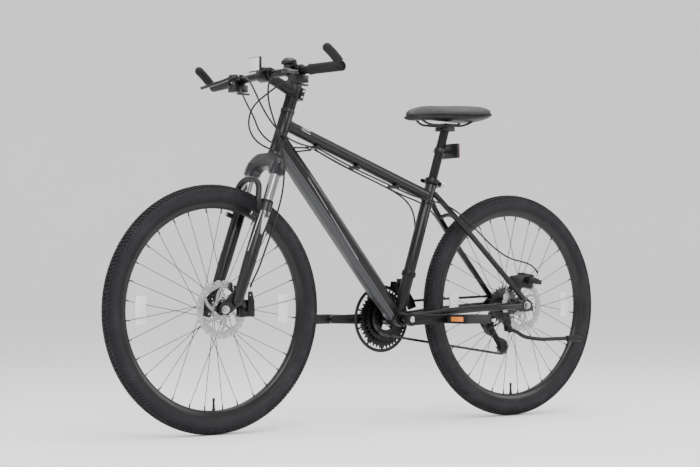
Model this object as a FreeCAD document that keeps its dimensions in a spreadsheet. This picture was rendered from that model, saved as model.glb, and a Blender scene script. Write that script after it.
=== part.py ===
"""Hardtail mountain bike with 27.5 inch wheels, a triple chainset and disc brakes.

Frame of the model: +X forward, +Y to the rider's left, +Z up, millimetres.
The origin is on the ground, half way between the axles, with the cranks level.
"""
import FreeCAD, Part
import Sketcher
import math
import os
import re

from FreeCAD import Placement, Rotation, Vector

doc = FreeCAD.newDocument("MountainBike")
sheet = doc.addObject("Spreadsheet::Sheet", "Sizes")

SIZES = {
    # frame layout
    "wheelbase": 1080, "axle_height": 340, "head_angle": 70.5, "head_x": 318, "head_z": 831,
    "head_length": 120, "head_radius": 19, "head_bore": 16.4, "cup_height": 10, "cup_radius": 20.5,
    "shell_x": -86, "shell_z": 304, "shell_radius": 21, "shell_width": 68, "shell_bore": 17.2,
    "seat_angle": 72, "seat_offset": -9, "seat_tube_radius": 17.4, "seat_tube_length": 436, "seat_bore": 13.9,
    "tube_wall": 1.6, "top_tube_radius": 16.9, "stay_radius": 8.5, "chainstay_radius": 10.5,
    "dropout_gap": 67.5, "dropout_plate": 6,
    # wheels
    "tyre_radius": 340, "bead_radius": 293, "rim_edge": 298, "rim_well": 284, "rim_inner": 274,
    "rim_half": 13, "rim_wall": 1.7, "spoke_radius": 0.95, "spoke_count": 32, "rotor_radius": 80,
    "rotor_thickness": 1.9, "rotor_bore": 12.5, "axle_radius": 4.9, "hub_bore": 5.4, "front_rotor_y": 39,
    "rear_rotor_y": 52, "front_gap": 50,
    # fork and steering
    "steerer_radius": 14.3, "leg_ahead": 18, "leg_side": 62, "stanchion_radius": 14, "leg_radius": 18,
    "crown_foot": 133, "axle_ahead": 45.4, "axle_depth": 536.9, "arch_ahead": 54,
    "arch_depth": 153, "spacer_radius": 18.3, "spacer_top": 105, "stem_top": 146, "stem_reach": 102,
    "stem_rise": 132.5, "bar_radius": 11.1, "bar_clamp": 12.7, "bar_half": 322, "bar_sweep": 28,
    "grip_radius": 15.5, "grip_length": 122, "grip_start": 196, "bar_end_radius": 13.5,
    "control_y": 150, "lever_length": 124,
    # drive
    "chain_pitch": 12.7, "ring_small": 24, "ring_middle": 34, "ring_large": 42, "cog_small": 14,
    "pulley_teeth": 11, "ring_small_y": -42, "ring_middle_y": -49.5, "ring_large_y": -57, "cog_small_y": -60,
    "cog_step": 5, "cog_thickness": 1.8, "crank_length": 170, "crank_left_y": 75, "crank_right_y": -73,
    "crank_thickness": 13, "pedal_inner": 90, "pedal_width": 90, "pedal_length": 92, "pedal_height": 26,
    "guide_x": -508, "guide_z": 272, "cage_length": 79,
    # seat
    "post_radius": 13.6, "post_length": 350, "post_head": 596, "rail_radius": 3.5,
}
for row, (alias, value) in enumerate(SIZES.items(), start=1):
    sheet.set("A%d" % row, alias.replace("_", " "))
    sheet.set("B%d" % row, str(value))
    sheet.setAlias("B%d" % row, alias)
doc.recompute()

pieces = {}


def size(expression):
    """Return the number that an expression over the sheet's aliases stands for."""
    return float(sheet.evalExpression(str(expression)))


def bind(target, **properties):
    """Bind properties of an object to expressions over the sheet's aliases."""
    for name, expression in properties.items():
        target.setExpression(name, qualified(expression))


def qualified(expression):
    """Write an expression with the sheet's name before each alias."""
    pattern = r"\b(" + "|".join(SIZES) + r")\b"
    return re.sub(pattern, r"Sizes.\1", str(expression))


def keep(part, label):
    """Put an object into one of the bike's nodes; what a maker buys as one unit shares a node."""
    pieces.setdefault(label, []).append(part)
    return part


# ---------------------------------------------------------------- frames of reference
UPRIGHT = Rotation()
LEFTWARD = Rotation(Vector(1, 0, 0), -90)
FORWARD = Rotation(Vector(0, 1, 0), 90)
HEAD = Placement(Vector(size("head_x"), 0, size("head_z")), Rotation(Vector(0, 1, 0), size("head_angle - 90")))
SHELL = Vector(size("shell_x"), 0, size("shell_z"))
SEAT_FOOT = SHELL + Vector(size("seat_offset"), 0, 0)
SEAT = Placement(SEAT_FOOT, Rotation(Vector(0, 1, 0), size("seat_angle - 90")))
REAR = Vector(-size("wheelbase") / 2, 0, size("axle_height"))
FRONT = Vector(size("wheelbase") / 2, 0, size("axle_height"))
WORLD = Placement()


def at(frame, ahead, side, up, turn=UPRIGHT):
    """Return the placement of a point and a direction given in one of the frames above."""
    return frame.multiply(Placement(Vector(ahead, side, up), turn))


def point(frame, ahead, side, up):
    """Return the world position of a point given in one of the frames above."""
    return frame.multVec(Vector(ahead, side, up))


def from_to(start, end):
    """Return the placement whose Z axis runs from one point to another."""
    return Placement(start, Rotation(Vector(0, 0, 1), end - start))


# ---------------------------------------------------------------- plain pieces
def rod(radius, length, place):
    """Make a cylinder that starts at a placement and runs along its Z axis."""
    part = doc.addObject("Part::Cylinder", "Rod")
    bind(part, Radius=radius, Height=length)
    part.Placement = place
    return part


def taper(low, high, length, place):
    """Make a cone frustum that starts at a placement and runs along its Z axis."""
    part = doc.addObject("Part::Cone", "Taper")
    bind(part, Radius1=low, Radius2=high, Height=length)
    part.Placement = place
    return part


def block(length, width, height, place):
    """Make a box centred on a placement."""
    part = doc.addObject("Part::Box", "Block")
    bind(part, Length=length, Width=width, Height=height)
    corner = Vector(-size(length) / 2, -size(width) / 2, -size(height) / 2)
    part.Placement = place.multiply(Placement(corner, UPRIGHT))
    return part


def ball(radius, centre):
    """Make a sphere."""
    part = doc.addObject("Part::Sphere", "Ball")
    bind(part, Radius=radius)
    part.Placement = Placement(centre, UPRIGHT)
    return part


def cut(base, *tools):
    """Take one or more pieces away from another."""
    part = doc.addObject("Part::Cut", "Cut")
    part.Base = base
    part.Tool = tools[0] if len(tools) == 1 else fuse(*tools)
    return part


def fuse(*parts):
    """Join pieces into one."""
    joined = doc.addObject("Part::MultiFuse", "Fuse")
    joined.Shapes = list(parts)
    return joined


def group(*parts):
    """Keep separate solids together in one piece."""
    compound = doc.addObject("Part::Compound", "Group")
    compound.Links = list(parts)
    return compound


def ring(outer, inner, length, place):
    """Make a plain ring along a placement's Z axis."""
    return cut(rod(outer, length, place), rod(inner, length, place))


def solid(shape, label="Made"):
    """Hold a shape worked out with Part's own functions as an object of the document."""
    part = doc.addObject("Part::Feature", label)
    part.Shape = shape
    return part


# ---------------------------------------------------------------- sketched pieces
def draw(sketch, corners):
    """Draw a closed outline whose corners are bound to expressions.

    A corner is (x, y), or (x, y, (mid_x, mid_y)) where an arc through the middle point reaches it.
    """
    spots = [Vector(size(corner[0]), size(corner[1]), 0) for corner in corners]
    ends = []
    for index, corner in enumerate(corners):
        before = spots[index - 1]
        here = spots[index]
        if len(corner) > 2:
            middle = Vector(size(corner[2][0]), size(corner[2][1]), 0)
            edge = sketch.addGeometry(Part.Arc(before, middle, here), False)
        else:
            edge = sketch.addGeometry(Part.LineSegment(before, here), False)
        first_is_start = sketch.getPoint(edge, 1).distanceToPoint(before) < 1e-4
        ends.append((edge, 1 if first_is_start else 2, 2 if first_is_start else 1))
    for index, corner in enumerate(corners):
        edge, _, tail = ends[index]
        following = ends[(index + 1) % len(corners)]
        sketch.addConstraint(Sketcher.Constraint("Coincident", edge, tail, following[0], following[1]))
        for axis, kind, expression in ((-2, "DistanceX", corner[0]), (-1, "DistanceY", corner[1])):
            value = size(expression)
            if abs(value) < 1e-9:
                sketch.addConstraint(Sketcher.Constraint("PointOnObject", edge, tail, axis))
            else:
                number = sketch.addConstraint(Sketcher.Constraint(kind, -1, 1, edge, tail, value))
                sketch.setExpression("Constraints[%d]" % number, qualified(expression))


def draw_circle(sketch, x, y, radius):
    """Draw a circle whose centre and radius are bound to expressions."""
    middle = Vector(size(x), size(y), 0)
    edge = sketch.addGeometry(Part.Circle(middle, Vector(0, 0, 1), size(radius)), False)
    number = sketch.addConstraint(Sketcher.Constraint("Radius", edge, size(radius)))
    sketch.setExpression("Constraints[%d]" % number, qualified(radius))
    for axis, kind, expression in ((-2, "DistanceX", x), (-1, "DistanceY", y)):
        value = size(expression)
        if abs(value) < 1e-9:
            sketch.addConstraint(Sketcher.Constraint("PointOnObject", edge, 3, axis))
        else:
            number = sketch.addConstraint(Sketcher.Constraint(kind, -1, 1, edge, 3, value))
            sketch.setExpression("Constraints[%d]" % number, qualified(expression))


def new_sketch(body, plane):
    """Start a sketch on one of a body's own origin planes."""
    sketch = body.newObject("Sketcher::SketchObject", "Sketch")
    flat = [feature for feature in body.Origin.OriginFeatures if feature.Role == plane][0]
    sketch.AttachmentSupport = [(flat, "")]
    sketch.MapMode = "FlatFace"
    return sketch


def plate(thickness, place, corners=None, circles=(), plane="XY_Plane"):
    """Make a body padded evenly to both sides of a sketch."""
    body = doc.addObject("PartDesign::Body", "Plate")
    sketch = new_sketch(body, plane)
    if corners:
        draw(sketch, corners)
    for circle in circles:
        draw_circle(sketch, *circle)
    pad = body.newObject("PartDesign::Pad", "Pad")
    pad.Profile = sketch
    pad.SideType = "Symmetric"
    bind(pad, Length=thickness)
    sketch.Visibility = False
    body.Placement = place
    return body


def pocket_around(body, count, corners=None, circles=(), plane="XY_Plane"):
    """Cut windows through a plate, repeated evenly round its middle."""
    sketch = new_sketch(body, plane)
    if corners:
        draw(sketch, corners)
    for circle in circles:
        draw_circle(sketch, *circle)
    pocket = body.newObject("PartDesign::Pocket", "Windows")
    pocket.Profile = sketch
    pocket.Type = "ThroughAll"
    pocket.SideType = "Symmetric"
    doc.recompute()
    pattern = body.newObject("PartDesign::PolarPattern", "Around")
    pattern.Originals = [pocket]
    pattern.Axis = (sketch, ["N_Axis"])
    pattern.Angle = 360
    bind(pattern, Occurrences=count)
    body.Tip = pattern
    return body


def turned(place, corners):
    """Make a body revolved about its own Y axis; a corner's x is its radius."""
    body = doc.addObject("PartDesign::Body", "Turned")
    sketch = new_sketch(body, "XY_Plane")
    draw(sketch, corners)
    turn = body.newObject("PartDesign::Revolution", "Turn")
    turn.Profile = sketch
    turn.ReferenceAxis = (sketch, ["V_Axis"])
    turn.Angle = 360
    body.Placement = place
    return body


# ---------------------------------------------------------------- bent tubes
def rounded_path(points, say=None):
    """Join straight runs by tangent arcs, each as large as its two runs allow."""
    edges = []
    start = points[0]
    radii = []
    for before, here, after in zip(points, points[1:], points[2:]):
        into = (here - before).normalize()
        out = (after - here).normalize()
        half_turn = into.getAngle(out) / 2
        reach = 0.45 * min((here - before).Length, (after - here).Length)
        radii.append(reach / math.tan(half_turn))
        first = here - into * reach
        last = here + out * reach
        inward = (out - into).normalize()
        bulge = here + inward * sagitta(reach, half_turn)
        edges.append(Part.LineSegment(start, first).toShape())
        edges.append(Part.Arc(first, bulge, last).toShape())
        start = last
    edges.append(Part.LineSegment(start, points[-1]).toShape())
    if say:
        print(say, "arc radii", [round(radius) for radius in radii])
    return Part.Wire(edges)


def sagitta(reach, half_turn):
    """Return how far an arc passes inside its corner, from its reach along the runs."""
    radius = reach / math.tan(half_turn)
    return math.hypot(radius, reach) - radius


def swept(points, radius, say=None):
    """Sweep a disc along a rounded path."""
    path = rounded_path(points, say)
    profile = Part.Wire(Part.makeCircle(radius, points[0], points[1] - points[0]))
    body = path.makePipeShell([profile], True, True)
    wanted = math.pi * radius ** 2 * path.Length
    if abs(body.Volume / wanted - 1) > 0.02:
        raise ValueError("a swept tube has %.0f mm3, not %.0f" % (body.Volume, wanted))
    return body


def pipe(points, radius, wall):
    """Sweep a hollow tube along a rounded path."""
    return swept(points, radius).cut(swept(points, radius - wall))


def mirrored(points):
    """Return points on the bike's other side."""
    return [Vector(spot.x, -spot.y, spot.z) for spot in points]


# ---------------------------------------------------------------- frame
def frame_tubes():
    """Make the welded frame, each tube mitred to its neighbours."""
    half = "head_length / 2"
    lower = at(HEAD, 0, 0, -size(half))
    keep(ring("head_radius", "head_bore", "head_length", lower), "head_tube")
    shell_place = Placement(SHELL - Vector(0, size("shell_width") / 2, 0), LEFTWARD)
    keep(ring("shell_radius", "shell_bore", "shell_width", shell_place), "seat_tube")
    head_room = rod("head_radius", "head_length", lower)
    shell_room = rod("shell_radius", "shell_width", shell_place)
    seat_room = rod("seat_tube_radius", "seat_tube_length", SEAT)
    seat_tube = ring("seat_tube_radius", "seat_bore", "seat_tube_length", SEAT)
    keep(cut(seat_tube, shell_room), "seat_tube")

    top_front = point(HEAD, 0, 0, 28)
    top_rear = point(SEAT, 0, 0, 382)
    top_place = from_to(top_front, top_rear)
    top_length = (top_rear - top_front).Length
    outer = rod("top_tube_radius", top_length, top_place)
    inner = rod("top_tube_radius - tube_wall", top_length, top_place)
    keep(cut(outer, inner, head_room, seat_room), "top_tube")

    cup_room = rod("cup_radius + 0.3", 16, at(HEAD, 0, 0, -75))
    crown_room = rod(26, 60, at(HEAD, 0, 0, -131.3))
    down_tube = cut(down_tube_body(0), down_tube_body(size("tube_wall")), head_room, cup_room, crown_room,
                    shell_room, seat_room)
    keep(down_tube, "down_tube")
    return seat_room


def down_tube_body(inset):
    """Make the faceted down tube, or its hollow when it is inset by the wall."""
    start = point(HEAD, 0, 0, -25)
    run = SHELL + Vector(0, 0, 4) - start
    place = Placement(start, Rotation(Vector(0, -1, 0), Vector(0, 0, 0), run, "ZXY"))
    sections = []
    for share, width, depth in ((0.0, 17, 25), (0.2, 22, 27), (0.8, 25, 26), (1.0, 24, 20)):
        half_width = width - inset
        half_depth = depth - inset
        flat = half_width * 0.45
        shoulder = half_depth * 0.35
        outline = [(flat, half_depth), (half_width, shoulder), (half_width, -shoulder), (flat * 1.2, -half_depth)]
        outline += [(-x, y) for x, y in reversed(outline)]
        corners = [place.multVec(Vector(x, y, share * run.Length)) for x, y in outline]
        sections.append(Part.makePolygon(corners + corners[:1]))
    return solid(Part.makeLoft(sections, True, True))


def frame_stays(seat_room):
    """Make the stays, the bridge between them and the dropouts."""
    radius = size("stay_radius")
    seat_path = [Vector(-226, 13, 676), Vector(-262, 30, 633), Vector(-330, 47, 562), Vector(-430, 60, 461),
                 Vector(-526, 74, 362)]
    chain_path = [Vector(-100, 22, 309), Vector(-165, 33, 316), Vector(-250, 45.5, 325), Vector(-390, 58, 334),
                  Vector(-515, 74.5, 340)]
    cog_room = Part.makeCylinder(66, 30, REAR - Vector(0, 65.3, 0), Vector(0, 1, 0))
    end_room = Part.makeCylinder(size("shell_radius"), 90, SHELL - Vector(0, 45, 0), Vector(0, 1, 0))
    plates = dropouts()
    left = pipe(seat_path, radius, 1.5)
    right = pipe(mirrored(seat_path), radius, 1.5)
    bridge = swept([Vector(-287, -34, 606), Vector(-289, 0, 616), Vector(-287, 34, 606)], 6)
    bridge = bridge.cut(swept(seat_path, radius)).cut(swept(mirrored(seat_path), radius))
    post = seat_room.Shape
    stays = left.fuse(right).fuse(bridge).cut(post).cut(cog_room)
    keep(solid(stays.cut(plates.Shape)), "seatstays")
    stout = size("chainstay_radius")
    lower = pipe(chain_path, stout, 1.8).fuse(pipe(mirrored(chain_path), stout, 1.8))
    yoke = Part.makeBox(18, 50, 16, Vector(-136, -25, 303))
    yoke = yoke.cut(swept(chain_path, stout)).cut(swept(mirrored(chain_path), stout))
    lower = lower.fuse(yoke).cut(end_room).cut(post).cut(cog_room)
    upper = swept(seat_path, radius).fuse(swept(mirrored(seat_path), radius))
    keep(solid(lower.cut(plates.Shape).cut(upper)), "chainstays")


def dropouts():
    """Make the two dropout plates; the right one carries the hanger of the rear derailleur."""
    thick = size("dropout_plate")
    plates = []
    for side in (1, -1):
        outline = [(-30, -16), (8, -20), (44, -14), (46, 10), (24, 30), (0, 26), (-24, 8)]
        middle = REAR + Vector(0, side * (size("dropout_gap") + thick / 2), 0)
        plates.append(plate("dropout_plate", Placement(middle, UPRIGHT), outline, [(0, 0, 5.3)], "XZ_Plane"))
    hanger = plate("dropout_plate", Placement(REAR - Vector(0, size("dropout_gap") + thick / 2, 0), UPRIGHT),
                   [(-16, -15), (6, -15), (12, -34), (-2, -40), (-14, -34)], [(0, -30, 5.2)], "XZ_Plane")
    right = fuse(plates[1], hanger)
    both = keep(group(plates[0], right), "chainstays")
    doc.recompute()
    return both


def frame_fittings():
    """Make what is pressed, clamped or bolted to the frame."""
    cups = []
    for foot in (size("head_length / 2"), -size("head_length / 2 + cup_height")):
        cups.append(ring("cup_radius", "steerer_radius + 0.5", "cup_height", at(HEAD, 0, 0, foot)))
    keep(group(*cups), "head_tube")

    half = size("shell_width") / 2 + 4
    place = Placement(SHELL - Vector(0, half, 0), LEFTWARD)
    cartridge = ring("shell_bore - 0.2", 10, 2 * half, place)
    keep(cartridge, "bottom_bracket_cartridge")

    top = size("seat_tube_length")
    collar = ring("seat_tube_radius + 4.5", "seat_tube_radius + 0.1", 16, at(SEAT, 0, 0, top - 16))
    ear = block(12, 26, 15, at(SEAT, -25, 0, top - 8.2))
    slot = block(20, 4, 20, at(SEAT, -25, 0, top - 8))
    room = rod("seat_tube_radius + 0.1", 40, at(SEAT, 0, 0, top - 30))
    bolt_room = rod(3.2, 60, at(SEAT, -26, -30, top - 8, LEFTWARD))
    keep(cut(fuse(collar, ear), slot, room, bolt_room), "seat_clamp")
    bolt = rod(3, 38, at(SEAT, -26, -13.2, top - 8, LEFTWARD))
    nut = rod(7, 9, at(SEAT, -26, 14, top - 8, LEFTWARD))
    keep(fuse(bolt, nut), "seat_clamp")

    hub = rod(6, 13, at(SEAT, -26, -20, top - 14.5))
    arm = block(46, 4.5, 11, at(SEAT, -5, -25.2, top - 8))
    tip = rod(5.5, 4.5, at(SEAT, 18, -27.5, top - 8, LEFTWARD))
    keep(fuse(hub, arm, tip), "seat_clamp_lever")


def kickstand():
    """Make the kickstand's bracket under the left chainstay and its folded leg."""
    bracket = plate(8, Placement(Vector(0, 74, 0), UPRIGHT),
                    [(-425, 318), (-466, 320), (-474, 290), (-470, 262), (-452, 262), (-446, 290), (-427, 300)],
                    [(-435, 308, 3), (-456, 308, 3)], "XZ_Plane")
    middle = Vector(-461, 84.5, 269)
    axis = Vector(0.18, -1, -0.18).normalize()
    pivot = rod(5, 20.5, from_to(middle - axis * 7, middle + axis * 13.5))
    keep(cut(fuse(bracket, pivot), group(*pieces["chainstays"])), "chainstays")
    path = [middle, Vector(-486, 84.5, 262), Vector(-520, 84.5, 244), Vector(-585, 84, 235),
            Vector(-655, 83, 235), Vector(-735, 82, 236)]
    leg = swept(path, 6)
    eye = Part.makeCylinder(11, 7.4, middle - axis * 3.7, axis)
    foot = swept([Vector(-700, 82.4, 235.6), Vector(-735, 82, 236), Vector(-762, 82, 233)], 9)
    bore = Part.makeCylinder(5.2, 40, middle - axis * 20, axis)
    keep(solid(leg.fuse(eye).cut(bore).cut(foot)), "kickstand_leg")
    keep(solid(foot), "kickstand_leg")


# ---------------------------------------------------------------- wheels
def wheel(side, axle, left_flange, right_flange, rotor_y):
    """Make a tyre, rim, inner tube, spokes, hub, rotor and reflectors round one axle."""
    place = Placement(axle, UPRIGHT)
    tyre = [("bead_radius", -8), ("bead_radius", -11), ("rim_edge + 1", -11), ("rim_edge + 5", -23.9),
            ("rim_edge + 5", 23.9, ("tyre_radius", 0)), ("rim_edge + 1", 11), ("bead_radius", 11),
            ("bead_radius", 8), ("rim_edge + 4", 8), ("rim_edge + 6", 19.9),
            ("rim_edge + 6", -19.9, ("tyre_radius - 4", 0)), ("rim_edge + 4", -8)]
    keep(turned(place, tyre), side + "_tyre")
    half = "rim_half"
    inside = "rim_half - rim_wall"
    rim = [("rim_edge", half), ("rim_edge", inside), ("rim_well + 3", inside), ("rim_well", 6), ("rim_well", -6),
           ("rim_well + 3", "rim_wall - rim_half"), ("rim_edge", "rim_wall - rim_half"), ("rim_edge", "-rim_half"),
           ("rim_well", "-rim_half"), ("rim_inner", -7), ("rim_inner", 7), ("rim_well", half)]
    hoop = turned(place, rim)
    valve_room = rod(4.4, 30, Placement(axle - Vector(0, 0, size("rim_inner") - 5), Rotation(Vector(1, 0, 0), 180)))
    keep(cut(hoop, valve_room), side + "_rim")

    tube = doc.addObject("Part::Torus", "Tube")
    bind(tube, Radius1=316, Radius2=15)
    tube.Placement = Placement(axle, LEFTWARD)
    hollow = doc.addObject("Part::Torus", "Air")
    bind(hollow, Radius1=316, Radius2=14)
    hollow.Placement = Placement(axle, LEFTWARD)
    stem = rod(4, 62, Placement(axle - Vector(0, 0, 240), Rotation(Vector(1, 0, 0), 180)))
    keep(cut(fuse(tube, stem), hollow), side + "_tyre")

    flange_radius = 22 if side == "front" else 24
    keep(solid(Part.makeCompound(spokes(axle, left_flange, right_flange, flange_radius))), side + "_spokes")
    rotor = plate("rotor_thickness", Placement(axle + Vector(0, rotor_y, 0), UPRIGHT),
                  circles=[(0, 0, "rotor_radius"), (0, 0, "rotor_bore")], plane="XZ_Plane")
    pocket_around(rotor, 6, [(28, -9), (62, -19), (62, 19, (65, 0)), (28, 9, ), ], plane="XZ_Plane")
    keep(rotor, side + "_rotor")

    reflectors = [block(34, 6, 82, Placement(axle + Vector(offset, 0, 0), UPRIGHT)) for offset in (228, -228)]
    keep(group(*reflectors), side + "_spokes")


def spokes(axle, left_flange, right_flange, flange_radius):
    """Return crossed spokes, from the flanges' edges to the rim; those that pull forward lie outermost."""
    made = []
    count = int(size("spoke_count"))
    lean = math.radians(62)
    for number in range(count):
        flange = left_flange if number % 2 else right_flange
        pull = 1 if number // 2 % 2 else -1
        rim_turn = 2 * math.pi * (number + 0.5) / count
        hub_turn = rim_turn + pull * lean
        outward = 1.6 * pull
        foot = flange_radius + 1.2
        hub_end = axle + Vector(foot * math.cos(hub_turn), flange + outward, foot * math.sin(hub_turn))
        reach = size("rim_inner") - 0.25
        tilt = math.copysign(3.5, flange) + outward * 0.8
        rim_end = axle + Vector(reach * math.cos(rim_turn), tilt, reach * math.sin(rim_turn))
        made.append(Part.makeCylinder(size("spoke_radius"), (rim_end - hub_end).Length, hub_end, rim_end - hub_end))
    return made


def hubs_and_axles():
    """Make both hubs, their axles and the axle nuts."""
    front = [("hub_bore", -45.3), (11, -45.3), (13, -33), (22, -31), (22, -25), (14, -20), (14, 20), (22, 25), (22, 31),
             (20, 32), (20, "front_rotor_y - 1"), (12.3, "front_rotor_y - 1"), (12.3, 45.3), ("hub_bore", 45.3)]
    keep(turned(Placement(FRONT, UPRIGHT), front), "front_hub")
    rear = [("hub_bore", -63), (15, -63), (15, -26), (24, -24), (24, -18), (15, -14), (15, 27), (24, 31), (24, 37),
            (20, 38), (20, "rear_rotor_y - 1"), (12.3, "rear_rotor_y - 1"), (12.3, 62), ("hub_bore", 62)]
    keep(turned(Placement(REAR, UPRIGHT), rear), "rear_hub")
    for side, axle, gap, plate_thickness in (("front", FRONT, 50, 7), ("rear", REAR, 67.5, 6)):
        cone_end = gap - 4.5
        length = 2 * (gap + plate_thickness + 11)
        spindle = rod("axle_radius", length, Placement(axle - Vector(0, length / 2, 0), LEFTWARD))
        rings = [ring(8.5, "axle_radius - 0.5", 4.3, Placement(axle + Vector(0, start, 0), LEFTWARD))
                 for start in (cone_end, -cone_end - 4.3)]
        keep(fuse(spindle, *rings), side + "_axle")
        nuts = []
        for way in (1, -1):
            face = axle + Vector(0, way * (gap + plate_thickness + 0.1), 0)
            turn = Rotation(Vector(1, 0, 0), -90 * way)
            washer = ring(11, "axle_radius + 0.05", 2, Placement(face, turn))
            nut = doc.addObject("Part::Prism", "Hexagon")
            nut.Polygon = 6
            bind(nut, Circumradius=9.6, Height=8)
            nut.Placement = Placement(face + Vector(0, 2 * way, 0), turn)
            nuts.append(cut(fuse(washer, nut), rod("axle_radius + 0.05", 12, Placement(face, turn))))
        keep(group(*nuts), side + "_axle")


# ---------------------------------------------------------------- fork
def fork():
    """Make the steerer, crown, stanchions and the sliding lower legs."""
    leg = size("leg_ahead")
    keep(ring("steerer_radius", "steerer_radius - 2", 244, at(HEAD, 0, 0, -100)), "fork_crown")
    outline = [(-80.5, "-crown_foot"), (-43, "-crown_foot"), (-28, -112, (-38, -119)), (28, -112),
               (43, "-crown_foot", (38, -119)), (80.5, "-crown_foot"), (80.5, -112), (25, -72.5, (62, -86)),
               (-25, -72.5), (-80.5, -112, (-62, -86))]
    bridge = plate(31, at(HEAD, 15, 0, 0), outline, plane="YZ_Plane")
    boss = rod(23.5, 30, at(HEAD, 0, 0, -101))
    sockets = [rod(18.2, 35, at(HEAD, leg, way * size("leg_side"), -136)) for way in (1, -1)]
    bores = [rod("stanchion_radius + 0.05", 30, at(HEAD, leg, way * size("leg_side"), -140)) for way in (1, -1)]
    bore = rod("steerer_radius + 0.05", 80, at(HEAD, 0, 0, -110))
    crown = cut(fuse(bridge, boss, *sockets), bore, *bores)
    keep(crown, "fork_crown")
    legs = [ring("stanchion_radius", "stanchion_radius - 1.8", 250, at(HEAD, leg, way * size("leg_side"), -362))
            for way in (1, -1)]
    keep(group(*legs), "fork_crown")

    seals = [ring("leg_radius - 0.5", "stanchion_radius + 0.3", 8, at(HEAD, leg, way * size("leg_side"), -220))
             for way in (1, -1)]
    keep(group(*seals), "fork_lowers")
    sides = []
    for way in (1, -1):
        side = way * size("leg_side")
        upper = rod("leg_radius", 170, at(HEAD, leg, side, -390))
        lower = taper("leg_radius - 3.5", "leg_radius", 115, at(HEAD, leg, side, -505))
        end = ball("leg_radius - 3.5", point(HEAD, leg, side, -505))
        tab_y = way * (size("front_gap") + 3.5)
        tab = plate(7, at(HEAD, 0, tab_y, 0),
                    [(8, -470), (30, -470), ("axle_ahead + 14", "-axle_depth + 6"),
                     ("axle_ahead + 12", "-axle_depth - 12"), ("axle_ahead - 14", "-axle_depth - 12"),
                     (14, "-axle_depth + 12")], plane="XZ_Plane")
        sides += [upper, lower, end, tab]
        sides.append(rod(7, 26, at(HEAD, 30, side, -262, FORWARD)))
    ahead = size("arch_ahead")
    top = size("arch_depth") + 7
    half = [point(HEAD, 26, -62, -254), point(HEAD, 44, -60, -224), point(HEAD, ahead - 2, -50, -top - 16),
            point(HEAD, ahead, -24, -top)]
    arch = swept(half + mirrored(half)[::-1], 8.5)
    mount = block(41.4, 7, 16, Placement(Vector(488.95, 58.5, 362.95), Rotation(Vector(0, 1, 0), -45)))
    sides.append(mount)
    bores = [rod("stanchion_radius + 0.4", 290, at(HEAD, leg, way * size("leg_side"), -460)) for way in (1, -1)]
    seal_room = [rod("leg_radius - 0.4", 9, at(HEAD, leg, way * size("leg_side"), -220.1)) for way in (1, -1)]
    axle_room = rod("axle_radius + 0.2", 160, Placement(FRONT - Vector(0, 80, 0), LEFTWARD))
    doc.recompute()
    lowers = cut(fuse(*sides, solid(arch)), *bores, *seal_room, axle_room)
    keep(lowers, "fork_lowers")


def brake(side, rotor_centre, turn, up):
    """Make a calliper, its pads and its arm, at a turn round the rotor's centre.

    up is 1 where the arm points along the frame's Z axis and -1 where it points the other way.
    """
    frame_place = Placement(rotor_centre, Rotation(Vector(0, 1, 0), -turn))
    body = block(44, 26, 46, at(frame_place, 76, 2, 0))
    gap = block(60, 7, 60, at(frame_place, 62, 0, 0))
    rotor_room = rod("rotor_radius + 2", 7, Placement(rotor_centre - Vector(0, 3.5, 0), LEFTWARD))
    lug = rod(11, 9, at(frame_place, 78, 14, 0, LEFTWARD))
    keep(cut(fuse(body, lug), gap, rotor_room), side + "_brake_calliper")
    pads = [block(22, 2, 26, at(frame_place, 68, way * 2.2, 0)) for way in (1, -1)]
    keep(group(*pads), side + "_brake_calliper")
    arm = plate(4, at(frame_place, 78, 25.3, 0),
                [(-10, -8 * up), (10, -8 * up), (11, 20 * up), (6, 46 * up), (-6, 46 * up), (-8, 20 * up)],
                [(0, 36 * up, 2.6)], "XZ_Plane")
    keep(arm, side + "_brake_arm")


# ---------------------------------------------------------------- cockpit
BAR_MIDDLE = point(HEAD, size("stem_reach"), 0, size("stem_rise"))


def bar_point(side):
    """Return the point of the handlebar's centre line at a distance to the left."""
    straight = 40
    beyond = max(0.0, abs(side) - straight) / (size("bar_half") - straight)
    return BAR_MIDDLE + Vector(-size("bar_sweep") * beyond, side, -3 * beyond)


def along_bar(start, radius, length, way):
    """Make a sleeve's solid on the bar, from one distance outwards."""
    place = from_to(bar_point(way * start), bar_point(way * (start + size(length))))
    return rod(radius, length, place)


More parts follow.
